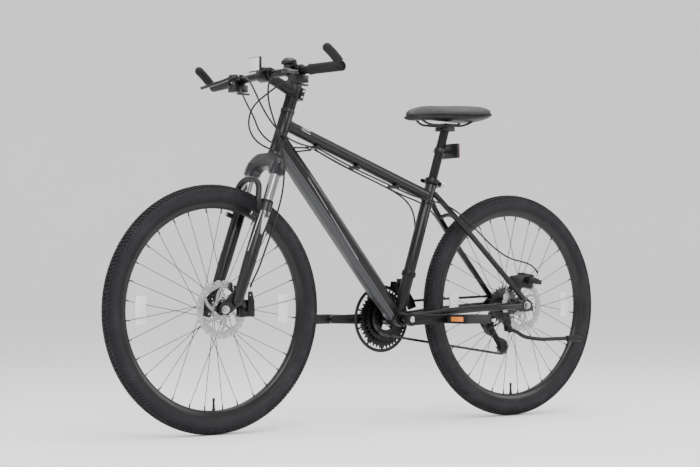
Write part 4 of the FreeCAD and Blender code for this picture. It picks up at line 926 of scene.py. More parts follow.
@dataclass
class Housings:
    """Brake and gear housings with their end caps."""

    shop: Shop
    radius: float = 2.5
    cap_radius: float = 3.1
    cap_length: float = 11.0
    brake_loop: Route = ((385, -101, 991), (392, -70, 989), (404, -32, 976), (412, 4, 948), (406, 28, 905),
                         (382, 36, 862), (342, 33, 826), (288, 24, 805), (240, 15, 797), (213, 12, 794))
    gear_loop: Route = ((372, -126, 966), (396, -92, 962), (418, -50, 944), (424, -14, 908), (410, 2, 870),
                        (384, -14, 834), (336, -29, 805), (284, -28, 794), (242, -20, 794), (213, -14, 795))
    front_gear_loop: Route = ((372, 126, 966), (386, 98, 956), (402, 62, 934), (432, 26, 898), (428, -4, 852),
                              (394, -27, 812), (340, -36, 788), (288, -29, 780), (244, -11, 783), (213, -2, 789))
    front_brake: Route = ((385, 100, 991), (400, 84, 984), (414, 78, 958), (415, 78, 912), (402, 84, 862),
                          (386, 92, 810), (374, 95, 756), (371, 93, 702), (374, 86, 650), (385, 77, 598),
                          (400, 70, 546), (419, 66, 494), (438, 64.5, 446), (456, 64.5, 418), (464, 65, 400))
    rear_brake: Route = ((200, 12, 793), (140, 15, 765), (72, 16, 739), (2, 16.5, 715), (-70, 17.5, 690),
                         (-138, 20, 666), (-200, 26, 654), (-254, 38, 642), (-302, 54, 610), (-352, 66, 563),
                         (-408, 74, 514), (-466, 79, 482), (-528, 80, 472), (-566, 79.5, 459), (-583, 78.4, 439))
    front_gear: Route = ((200, -2, 789), (136, -3, 762), (66, -4, 735), (-4, -5, 710), (-72, -7, 686),
                         (-134, -14, 660), (-176, -26, 626), (-188, -29, 576), (-178, -28, 524),
                         (-164, -27, 480), (-156, -25.5, 448))
    rear_gear: Route = ((200, -14, 794), (138, -18, 767), (70, -19.5, 741), (0, -20.5, 717), (-70, -20.5, 691),
                        (-138, -23, 668), (-202, -30, 652), (-256, -42, 630), (-304, -57, 592), (-354, -68, 540),
                        (-406, -75, 488), (-456, -80, 436), (-508, -87, 392), (-566, -94, 364), (-604, -98, 328),
                        (-594, -99, 284), (-560, -97, 272))

    def build(self) -> None:
        """Make every housing."""
        loops = self._bundle("steering_housings", (self.brake_loop, self.gear_loop, self.front_gear_loop))
        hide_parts("steering_cables")
        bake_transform(loops)
        brake = self._bundle("front_brake_housing", (self.front_brake,))
        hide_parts("front_brake_cable")
        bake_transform(brake)
        held = self._bundle("frame_housings", (self.rear_brake, self.front_gear, self.rear_gear))
        self.shop.ride(held, "frame", "frame_cables")
        self._stops()

    def _bundle(self, name: str, routes: Sequence[Route]) -> bpy.types.Object:
        """Make several housings with their end caps as one piece."""
        things = []
        caps = bmesh.new()
        for number, route in enumerate(routes):
            curve = bpy.data.curves.new("%s_%d" % (name, number), "CURVE")
            curve.dimensions = "3D"
            curve.bevel_depth = self.radius * MM
            curve.bevel_resolution = 4
            curve.resolution_u = 10
            curve.use_fill_caps = True
            spline = curve.splines.new("NURBS")
            spline.points.add(len(route) - 1)
            for point, place in zip(spline.points, route):
                point.co = (*mm(*place), 1.0)
            spline.order_u = 3
            spline.use_endpoint_u = True
            line = bpy.data.objects.new(curve.name, curve)
            bpy.context.scene.collection.objects.link(line)
            mesh = bpy.data.meshes.new_from_object(line.evaluated_get(bpy.context.evaluated_depsgraph_get()))
            bpy.data.objects.remove(line)
            things.append(smooth(new_object(curve.name, mesh, self.shop.finishes["housing_plastic"]), 60.0))
            for end, inner in ((route[0], route[1]), (route[-1], route[-2])):
                along = (mm(*inner) - mm(*end)).normalized()
                start = mm(*end) + along * 0.0002
                tube_shape(caps, start, start + along * self.cap_length * MM, self.cap_radius * MM, 14)
        things.append(bevelled(from_bmesh(name + "_caps", caps, self.shop.finishes["black_anodised"]), 0.0005))
        return joined(name, things)

    def _stops(self) -> None:
        """Make the clips that hold the housings to the frame."""
        shape = bmesh.new()
        for x, low, high in ((201, -18, 16), (60, -23, 20), (-82, -24, 21)):
            middle = (low + high) / 2
            height = 794 + (x - 201) * 0.366
            place = Matrix.Translation(mm(x, middle, height + 1.5)) @ Euler((0, -0.352, 0)).to_matrix().to_4x4()
            box_shape(shape, mm(13, high - low, 9), place)
        clips = bevelled(from_bmesh("housing_clips", shape, self.shop.finishes["glossy_plastic"]), 0.0022, 3)
        self.shop.ride(clips, "frame", "frame_cables")


def joined(name: str, things: Sequence[bpy.types.Object]) -> bpy.types.Object:
    """Join objects into one that keeps their materials and shading."""
    mesh = bpy.data.meshes.new(name)
    shape = bmesh.new()
    materials: list[bpy.types.Material] = []
    for thing in things:
        shift = len(materials)
        first = len(shape.faces)
        shape.from_mesh(thing.data)
        shape.faces.ensure_lookup_table()
        for face in shape.faces[first:]:
            face.material_index += shift
        materials += list(thing.data.materials)
        bpy.data.objects.remove(thing)
    shape.to_mesh(mesh)
    shape.free()
    for material in materials:
        mesh.materials.append(material)
    return new_object(name, mesh)


# ---------------------------------------------------------------- wheels
@dataclass
class Wheel:
    """A tyre with its tread, a rim with nipples and valve, a hub, a rotor and spokes."""

    shop: Shop
    axle: Axle
    section_radius: float = 313.8
    carcass: float = 22.9
    tread: float = 26.0
    pitches: int = 190
    rim_edge: float = 298.0
    rim_inner: float = 274.0
    rim_half: float = 13.0
    spokes: int = 32

    @property
    def body(self) -> str:
        """The wheel's body."""
        return self.axle.value + "_wheel"

    @property
    def centre(self) -> Vector:
        """The axle's middle."""
        return AXLES[self.axle]

    def build(self) -> None:
        """Make the wheel."""
        self._tyre()
        self._rim()
        self._spokes()
        self._hub()
        Rotor(self.shop, self.axle).build()

    def _on_section(self, along: float, degrees: float, radius: float) -> Vector:
        """Return a point of the tyre relative to the axle.

        Args:
            along: millimetres round the tread.
            degrees: the place round the section, from the crown.
            radius: distance from the section's centre.
        """
        turn = along / (self.section_radius + self.tread)
        out = self.section_radius + radius * math.cos(math.radians(degrees))
        return mm(out * math.sin(turn), radius * math.sin(math.radians(degrees)), out * math.cos(turn))

    def _tyre(self) -> None:
        """Make the casing and its tread."""
        outline = []
        for degrees in range(-124, 125, 4):
            radius = self.carcass
            if abs(degrees) in (104, 108, 116):
                radius += 0.55
            outline.append((self.section_radius + radius * math.cos(math.radians(degrees)),
                            radius * math.sin(math.radians(degrees))))
        outline += [(294.5, 12.9), (293.2, 11.2)]
        outline += [(self.section_radius + 20.6 * math.cos(math.radians(degrees)),
                     20.6 * math.sin(math.radians(degrees))) for degrees in range(120, -121, -12)]
        outline += [(293.2, -11.2), (294.5, -12.9)]
        points = [(radius * MM, y * MM) for radius, y in outline]
        casing = lathe(self.axle.value + "_casing", points, self.centre, 180, self.shop.finishes["tyre_rubber"])
        casing = smooth(casing, 60.0)
        self.shop.ride(casing, self.body, self.axle.value + "_tyre")
        unit = self._tread_unit()
        tread = self.shop.repeater.around(unit, self.pitches, self.centre, self.shop.finishes["tread_rubber"])
        self.shop.ride(smooth(tread, 30.0), self.body, self.axle.value + "_tyre")

    def _tread_unit(self) -> bpy.types.Object:
        """Make one pitch of the herringbone tread: centre, middle and shoulder bars on both sides."""
        shape = bmesh.new()
        pitch = 2 * math.pi * (self.section_radius + self.tread) / self.pitches
        bars = ((-2, 17, -1.0, 4.5, 0.56, 0.0), (21, 44, 3.0, -5.0, 0.52, 0.0), (48, 73, -4.5, 5.5, 0.50, 1.4))
        for side in (-1, 1):
            for low, high, start, end, share, drop in bars:
                lift = 0.5 * pitch if side < 0 else 0.0
                self._bar(shape, side, low, high, start + lift, end + lift, share * pitch / 2, drop)
        return from_bmesh(self.axle.value + "_tread", shape)

    def _bar(self, shape: bmesh.types.BMesh, side: int, low: float, high: float, start: float, end: float,
             half: float, drop: float) -> None:
        """Add one tread bar that follows the section between two places.

        Args:
            shape: the mesh that it is added to.
            side: 1 to the left, -1 to the right.
            low: the bar's first place round the section, in degrees.
            high: its last place.
            start: how far round the tread it begins.
            end: how far round it ends.
            half: half the bar's width.
            drop: how much lower its outer end is.
        """
        steps = 3
        rows = []
        for step in range(steps):
            share = step / (steps - 1)
            degrees = side * (low + (high - low) * share)
            along = start + (end - start) * share
            trim = 0.8 if step in (0, steps - 1) else 0.35
            top = self.tread - drop * share
            rows.append([shape.verts.new(self._on_section(along - half, degrees, self.carcass - 0.8)),
                         shape.verts.new(self._on_section(along + half, degrees, self.carcass - 0.8)),
                         shape.verts.new(self._on_section(along + half - trim, degrees, top)),
                         shape.verts.new(self._on_section(along - half + trim, degrees, top))])
        for before, here in zip(rows, rows[1:]):
            for index in range(4):
                after = (index + 1) % 4
                shape.faces.new((before[index], before[after], here[after], here[index]))
        shape.faces.new(rows[0][::-1])
        shape.faces.new(rows[-1])

    def _rim(self) -> None:
        """Make the double-wall rim, its nipples and the valve."""
        half = self.rim_half
        outline = [(self.rim_edge, half), (self.rim_edge, half - 1.6), (self.rim_edge - 4.5, half - 2.2),
                   (self.rim_edge - 5.5, half - 4.5), (286, half - 6), (284, 0), (286, 6 - half),
                   (self.rim_edge - 5.5, 4.5 - half), (self.rim_edge - 4.5, 2.2 - half),
                   (self.rim_edge, 1.6 - half), (self.rim_edge, -half), (self.rim_edge - 1.0, -half),
                   (288.5, -half + 0.3), (287.5, -half + 0.9), (282.0, -half + 1.2), (277, -half + 4.0),
                   (self.rim_inner + 0.4, -5.6), (self.rim_inner, -3.0), (self.rim_inner, 3.0),
                   (self.rim_inner + 0.4, 5.6), (277, half - 4.0), (282.0, half - 1.2), (287.5, half - 0.9),
                   (288.5, half - 0.3), (self.rim_edge - 1.0, half)]
        points = [(radius * MM, y * MM) for radius, y in outline]
        rim = lathe(self.axle.value + "_rim_hoop", points, self.centre, 180, self.shop.finishes["rim_black"])
        self.shop.ride(smooth(rim, 28.0), self.body, self.axle.value + "_rim")
        unit = bmesh.new()
        bmesh.ops.create_cone(unit, cap_ends=True, segments=10, radius1=0.0023, radius2=0.0017, depth=0.0125)
        nipple = from_bmesh(self.axle.value + "_nipples", unit)
        places = []
        for number in range(self.spokes):
            turn = 2 * math.pi * (number + 0.5) / self.spokes
            side = 1 if number % 2 else -1
            pull = 1 if (number // 2) % 2 else -1
            out = Vector((math.cos(turn), 0.0, math.sin(turn)))
            foot = self.centre + out * (self.rim_inner - 5.2) * MM + Vector((0.0, side * 3.6 * MM, 0.0))
            lean = Vector((-out.z, 0.0, out.x)) * -0.12 * pull + Vector((0.0, side * 0.08, 0.0))
            inward = (-out + lean).normalized()
            places.append(Matrix.Translation(foot) @ inward.to_track_quat("Z", "Y").to_matrix().to_4x4())
        nipples = self.shop.placer.place(self.axle.value + "_nipples", nipple, places,
                                         self.shop.finishes["spoke_black"])
        self.shop.ride(smooth(nipples), self.body, self.axle.value + "_rim")
        self._valve()

    def _valve(self) -> None:
        """Make the rubber valve with its capped top, at the foot of the wheel."""
        outline = [(0.4, 274), (5.4, 274.2), (4.6, 271), (3.7, 266), (3.4, 256), (2.7, 254), (2.7, 252),
                   (3.7, 251.6),
                   (3.7, 241.5), (2.8, 240.2), (0.4, 240)]
        shape = bmesh.new()
        rings = []
        for step in range(16):
            turn = 2 * math.pi * step / 16
            rings.append([shape.verts.new(self.centre + mm(r * math.cos(turn), r * math.sin(turn), -depth))
                          for r, depth in outline])
        for before, here in zip(rings, rings[1:] + rings[:1]):
            for index in range(len(outline) - 1):
                shape.faces.new((before[index], before[index + 1], here[index + 1], here[index]))
        shape.faces.new([ring[0] for ring in rings])
        shape.faces.new([ring[-1] for ring in rings])
        valve = smooth(from_bmesh(self.axle.value + "_valve", shape, self.shop.finishes["grip_rubber"]), 40.0)
        self.shop.ride(valve, self.body, self.axle.value + "_tyre")

    def _spokes(self) -> None:
        """Dress the spokes and make the two curved spoke reflectors."""
        node = self.axle.value + "_spokes"
        refine(node, self.body, self.shop.finishes, lambda middle, size: None if size.y < 0.0075 and
               max(size.x, size.z) < 0.09 else ("spoke_black", 0.0))
        shape = bmesh.new()
        for turn in (0.0, math.pi):
            ring = Matrix.Translation(self.centre) @ Matrix.Rotation(turn, 4, "Y")
            for half, low, high, deep in ((38.0, 212.0, 245.0, 2.4), (35.0, 215.0, 242.0, 3.1)):
                rows = []
                for step in range(11):
                    angle = math.radians((step / 10 - 0.5) * 2 * math.degrees(half / 228))
                    row = []
                    for radius, y in ((low, -deep), (high, -deep), (high, deep), (low, deep)):
                        spot = mm(radius * math.cos(angle), y, radius * math.sin(angle))
                        row.append(shape.verts.new(ring @ spot))
                    rows.append(row)
                for before, here in zip(rows, rows[1:]):
                    for index in range(4):
                        after = (index + 1) % 4
                        shape.faces.new((before[index], before[after], here[after], here[index]))
                shape.faces.new(rows[0][::-1])
                shape.faces.new(rows[-1])
        lens = from_bmesh(self.axle.value + "_spoke_reflectors", shape, self.shop.finishes["lens_clear"])
        self.shop.ride(bevelled(lens, 0.0008), self.body, node)

    def _hub(self) -> None:
        """Dress the hub, its axle and nuts."""
        refine(self.axle.value + "_hub", self.body, self.shop.finishes, always("black_anodised", 0.0004))
        holder = "fork_legs" if self.axle is Axle.FRONT else "frame"
        refine(self.axle.value + "_axle", holder, self.shop.finishes, always("bolt_steel", 0.0004))


@dataclass
class Rotor:
    """A wavy brake disc with drilled track, swept arms and six bolts."""

    shop: Shop
    axle: Axle
    radius: float = 79.6
    wave: float = 1.5
    waves: int = 12
    track_inner: float = 64.0
    arm_root: float = 26.0
    bore: float = 15.5
    thickness: float = 1.8
    bolt_circle: float = 21.0

    def build(self) -> None:
        """Make the disc and its bolts."""
        node = self.axle.value + "_rotor"
        centre = centre_of(node)
        curve = bpy.data.curves.new(node, "CURVE")
        curve.dimensions = "2D"
        curve.fill_mode = "BOTH"
        curve.extrude = self.thickness * MM / 2 - 0.0002
        curve.bevel_depth = 0.0002
        curve.bevel_resolution = 0
        self._loop(curve, self._wavy(self.radius - self.wave, self.wave, 240))
        self._loop(curve, self._circle(0, 0, self.bore, 40))
        for arm in range(6):
            self._loop(curve, self._window(arm))
        for number in range(36):
            turn = 2 * math.pi * number / 36
            for track, lag, size in ((74.2, 0.0, 2.2), (70.2, 0.045, 2.2), (66.6, 0.09, 1.7)):
                if number % 3 != 2:
                    place = turn + lag
                    self._loop(curve, self._circle(track * math.cos(place), track * math.sin(place), size, 10))
        for number in range(6):
            turn = 2 * math.pi * (number + 0.5) / 6 + 0.15
            for track, size in ((33.0, 2.6), (41.0, 2.2)):
                twist = turn + self._swirl(track) - 0.15
                self._loop(curve, self._circle(track * math.cos(twist), track * math.sin(twist), size, 12))
        line = bpy.data.objects.new(node + "_disc", curve)
        bpy.context.scene.collection.objects.link(line)
        mesh = bpy.data.meshes.new_from_object(line.evaluated_get(bpy.context.evaluated_depsgraph_get()))
        bpy.data.objects.remove(line)
        shape = bmesh.new()
        shape.from_mesh(mesh)
        bmesh.ops.remove_doubles(shape, verts=shape.verts, dist=1e-6)
        shape.transform(Matrix.Translation(centre) @ Matrix.Rotation(math.pi / 2, 4, "X"))
        disc = from_bmesh(node + "_disc", shape, self.shop.finishes[self.axle.value + "_rotor_steel"])
        self.shop.ride(smooth(disc, 30.0), self.axle.value + "_wheel", node)
        self._bolts(node, centre)

    def _swirl(self, track: float) -> float:
        """Return how far an arm is swept round at a radius."""
        return 0.62 * (track - self.arm_root) / (self.track_inner - self.arm_root)

    def _loop(self, curve: bpy.types.Curve, points: Sequence[tuple[float, float]]) -> None:
        """Add a closed outline to a flat curve, in millimetres."""
        spline = curve.splines.new("POLY")
        spline.points.add(len(points) - 1)
        for point, (x, y) in zip(spline.points, points):
            point.co = (x * MM, y * MM, 0.0, 1.0)
        spline.use_cyclic_u = True

    def _circle(self, x: float, y: float, radius: float, steps: int) -> list[tuple[float, float]]:
        """Return a circle's points."""
        turns = [2 * math.pi * step / steps for step in range(steps)]
        return [(x + radius * math.cos(turn), y + radius * math.sin(turn)) for turn in turns]

    def _wavy(self, radius: float, wave: float, steps: int) -> list[tuple[float, float]]:
        """Return the disc's wavy rim."""
        points = []
        for step in range(steps):
            turn = 2 * math.pi * step / steps
            reach = radius + wave * math.sin(turn * self.waves) ** 2 * 2 - wave
            points.append((reach * math.cos(turn), reach * math.sin(turn)))
        return points

    def _window(self, arm: int) -> list[tuple[float, float]]:
        """Return the outline of the gap between two swept arms."""
        points = []
        gap = 2 * math.pi / 6
        root, tip = self.arm_root + 3.0, self.track_inner - 1.5
        steps = 8
        for step in range(steps + 1):
            track = root + (tip - root) * step / steps
            half = 4.6 if 0 < step < steps else 6.2
            points.append((track, gap * arm + self._swirl(track) + half / track))
        for step in range(steps + 1):
            track = tip + (root - tip) * step / steps
            half = 4.6 if 0 < step < steps else 6.2
            points.append((track, gap * (arm + 1) + self._swirl(track) - half / track))
        return [(track * math.cos(turn), track * math.sin(turn)) for track, turn in points]

    def _bolts(self, node: str, centre: Vector) -> None:
        """Make the six bolts that hold the disc to the hub."""
        shape = bmesh.new()
        start = mm(self.bolt_circle, self.thickness / 2, 0)
        tube_shape(shape, start, start + mm(0, 2.2, 0), 3.6 * MM, 12)
        tube_shape(shape, start + mm(0, 2.2, 0), start + mm(0, 2.6, 0), 2.2 * MM, 6)
        unit = from_bmesh(node + "_bolts", shape)
        bolts = self.shop.repeater.around(unit, 6, centre, self.shop.finishes["bolt_steel"], 0.35)
        self.shop.ride(bevelled(bolts, 0.0003), self.axle.value + "_wheel", node)


# ---------------------------------------------------------------- frame
@dataclass
class Bead:
    """A weld bead where a round tube meets another round tube."""

    start: Vector
    end: Vector
    radius: float
    other_foot: Vector
    other_axis: Vector
    other_radius: float
    half: float = 0.0021
    ripples: int = 46

    def add(self, shape: bmesh.types.BMesh) -> None:
        """Add the bead to a mesh, as a ring of overlapping ripples that follows the joint."""
        along = (self.end - self.start).normalized()
        side = along.orthogonal().normalized()
        over = along.cross(side)
        places = []
        steps = self.ripples * 4
        for step in range(steps):
            turn = 2 * math.pi * step / steps
            out = side * math.cos(turn) + over * math.sin(turn)
            foot = self._reach(self.start + out * self.radius, along)
            places.append((foot, (out - along).normalized(), step))
        rings = []
        for index, (foot, out, step) in enumerate(places):
            ahead = (places[(index + 1) % steps][0] - places[index - 1][0]).normalized()
            up = ahead.cross(out).normalized()
            size = self.half * (1.0 + 0.22 * math.sin(math.pi * (step % 4) / 4))
            rings.append([shape.verts.new(foot + (out * math.cos(turn) + up * math.sin(turn)) * size)
                          for turn in (math.pi * number / 4 for number in range(8))])
        for before, here in zip(rings, rings[1:] + rings[:1]):
            for index in range(8):
                after = (index + 1) % 8
                shape.faces.new((before[index], before[after], here[after], here[index]))

    def _reach(self, spot: Vector, along: Vector) -> Vector:
        """Return where a line along the tube meets the other tube's surface."""
        axis = self.other_axis.normalized()
        gap = spot - self.other_foot
        flat_gap = gap - axis * gap.dot(axis)
        flat_way = along - axis * along.dot(axis)
        a = flat_way.dot(flat_way)
        b = 2 * flat_way.dot(flat_gap)
        c = flat_gap.dot(flat_gap) - self.other_radius ** 2
        root = math.sqrt(max(0.0, b * b - 4 * a * c))
        return spot + along * ((-b + root) / (2 * a))


@dataclass
class MainFrame:
    """Welded tubes, stays, dropouts, bottom bracket and what is fixed to them."""

    shop: Shop

    def build(self) -> None:
        """Make and dress the frame."""
        paint = "frame_gloss_black"
        finishes = self.shop.finishes
        refine("head_tube", "frame", finishes, lambda middle, size: (
            ("frame_gloss_black", 0.0006) if size.z > 0.1 else ("crown_silver", 0.0008)))
        refine("top_tube", "frame", finishes, always("top_tube_paint", 0.0))
        refine("down_tube", "frame", finishes, always("down_tube_paint", 0.0028))
        refine("seat_tube", "frame", finishes, always(paint, 0.0006))
        refine("seatstays", "frame", finishes, always(paint, 0.0003))
        refine("chainstays", "frame", finishes, lambda middle, size: (
            (paint, 0.0005) if abs(middle.y) < 0.01 or size.y < 0.01 else ("black_anodised", 0.0008)))
        refine("seat_clamp", "frame", finishes, lambda middle, size: (
            ("black_anodised", 0.0006) if size.x > 0.03 else ("bolt_steel", 0.0004)))
        refine("seat_clamp_lever", "clamp_lever", finishes, always("black_anodised", 0.0014))
        refine("bottom_bracket_cartridge", "frame", finishes, always("ring_steel", 0.0005))
        refine("kickstand_leg", "kickstand", finishes, lambda middle, size: (
            ("black_anodised", 0.0008) if size.x > 0.1 else ("grip_rubber", 0.0012)))
        self._beads()

    def _beads(self) -> None:
        """Make the weld beads."""
        shape = bmesh.new()
        top_front, top_rear = HEAD.point(0, 0, 28), SEAT.point(0, 0, 382)
        Bead(top_front, top_rear, 0.0169, top_front, HEAD.along, 0.019).add(shape)
        Bead(top_rear, top_front, 0.0169, top_rear, SEAT.along, 0.0174).add(shape)
        beads = smooth(from_bmesh("weld_beads", shape, self.shop.finishes["frame_gloss_black"]), 60.0)
        self.shop.ride(beads, "frame")


# ---------------------------------------------------------------- fork
@dataclass
class Fork:
    """Crown with silver-grey legs, black sliding legs with striped sleeves, seals and bolts."""

    shop: Shop
    leg_side: float = 62.0
    leg_ahead: float = 18.0

    def build(self) -> None:
        """Make and dress the fork."""
        finishes = self.shop.finishes
        refine("fork_crown", "steering", finishes, lambda middle, size: (
            ("stanchion_silver", 0.0) if abs(middle.y) > 0.03 else
            ("bolt_steel", 0.0) if size.y < 0.04 else ("crown_grey", 0.0016)))
        refine("fork_lowers", "fork_legs", finishes, lambda middle, size: (
            ("lower_leg_paint", 0.0010) if size.z > 0.1 else ("grip_rubber", 0.0006)))
        shape = bmesh.new()
        for side in (-1, 1):
            y = side * self.leg_side
            start = HEAD.point(56, y, -262)
            tube_shape(shape, start, start + (HEAD.point(59.5, y, -262) - start), 5.6 * MM, 16)
            cap = HEAD.point(self.leg_ahead, y, -110)
            tube_shape(shape, cap, cap + HEAD.along * 0.004, 13.2 * MM, 24)
        self._ride_split(shape)

    def _ride_split(self, shape: bmesh.types.BMesh) -> None:
        """Make the bosses' bolts ride on the lower legs and the top caps on the crown."""
        mesh = bpy.data.meshes.new("fork_bolts")
        shape.to_mesh(mesh)
        shape.free()
        for name, body, upper in (("fork_boss_bolts", "fork_legs", False), ("fork_top_caps", "steering", True)):
            part = bmesh.new()
            part.from_mesh(mesh)
            level = HEAD.point(0, 0, -180).z
            wrong = [vert for vert in part.verts if (vert.co.z > level) != upper]
            bmesh.ops.delete(part, geom=wrong, context="VERTS")
            material = self.shop.finishes["bolt_steel" if not upper else "black_anodised"]
            piece = bevelled(from_bmesh(name, part, material), 0.0007, 3)
            self.shop.ride(piece, body)
        bpy.data.meshes.remove(mesh)


# ---------------------------------------------------------------- cockpit
@dataclass
class Cockpit:
    """Handlebar, stem, grips, bar ends, control units, levers, bell and front reflector."""

    shop: Shop
    grip_start: float = 196.0
    grip_end: float = 318.0
    ribs: int = 26

    def build(self) -> None:
        """Make and dress everything on the bar."""
        finishes = self.shop.finishes
        refine("stem", "steering", finishes, lambda middle, size: (
            ("bolt_steel", 0.0004) if max(size.x, size.z) < 0.01 else ("black_anodised", 0.0008)))
        refine("handlebar", "steering", finishes, always("black_anodised", 0.0003))
        refine("brake_shift_units", "steering", finishes, always("glossy_plastic", 0.0022))
        for side in Side:
            word = side.word
            refine(word + "_brake_lever", word + "_lever", finishes, always("lever_black", 0.0022))
            refine(word + "_shift_trigger", word + "_trigger", finishes, always("black_plastic", 0.0014))
        refine("bell", "steering", finishes, lambda middle, size: (
            ("glossy_plastic", 0.0012) if size.x > 0.04 else ("black_plastic", 0.0008)))
        refine("bell_striker", "striker", finishes, always("black_plastic", 0.0008))
        refine("front_reflector", "steering", finishes, lambda middle, size: (
            ("lens_clear", 0.0010) if size.x < 0.01 else ("black_plastic", 0.0016)))
        self._grips()
        self._unit_details()

    def _grips(self) -> None:
        """Make the shaped grips with ribs and their clamped bar ends."""
        finishes = self.shop.finishes
        refine("grips", "steering", finishes, lambda middle, size: (
            None if size.y > 0.1 else ("grip_rubber", 0.0016)))
        shape = bmesh.new()
        rings = 60
        sides = 28
        for side in (-1, 1):
            rows = []
            for step in range(rings + 1):
                share = step / rings
                place = self.grip_start + (self.grip_end - self.grip_start) * share
                middle = bar_point(side * place)
                rib = 0.35 * math.cos(2 * math.pi * self.ribs * share) if 0.08 < share < 0.78 else 0.0
                flange = 1.2 * max(0.0, 1 - share / 0.05)
                row = []
                for turn in (2 * math.pi * number / sides for number in range(sides)):
                    wing = max(0.0, math.cos(turn - math.pi * 1.15)) ** 3 * max(0.0, share - 0.45) * 3.2
                    radius = 14.2 + rib + flange + wing
                    radius = min(radius, 15.45)
                    spot = mm(radius * math.cos(turn), 0, radius * math.sin(turn))
                    row.append(shape.verts.new(middle + spot))
                rows.append(row)
            inner = [shape.verts.new(bar_point(side * self.grip_start) + mm(11.2 * math.cos(turn), 0,
                                                                           11.2 * math.sin(turn)))
                     for turn in (2 * math.pi * number / sides for number in range(sides))]
            rows.insert(0, inner)
            for before, here in zip(rows, rows[1:]):
                for index in range(sides):
                    after = (index + 1) % sides
                    shape.faces.new((before[index], before[after], here[after], here[index]))
            shape.faces.new(rows[-1])
            shape.faces.new(rows[0][::-1])
        grips = smooth(from_bmesh("ribbed_grips", shape, finishes["grip_rubber"]), 50.0)
        self.shop.ride(grips, "steering", "grips")

    def _unit_details(self) -> None:
        """Make the pivot bolts and clamp bolts of the control units."""
        shape = bmesh.new()
        for side in (-1, 1):
            middle = bar_point(side * 150)
            for offset, along, radius in (((20, side * -22, 6), (0, 0, 9.2), 3.4),
                                          ((26, 0, -6.5), (0, 0, -2), 3.2),
                                          ((-12, 0, 12), (0, 0, 5.5), 2.6)):
                start = middle + mm(*offset)
                tube_shape(shape, start, start + mm(*along), radius * MM, 12)
        bolts = bevelled(from_bmesh("control_bolts", shape, self.shop.finishes["bolt_steel"]), 0.0004)
        self.shop.ride(bolts, "steering")


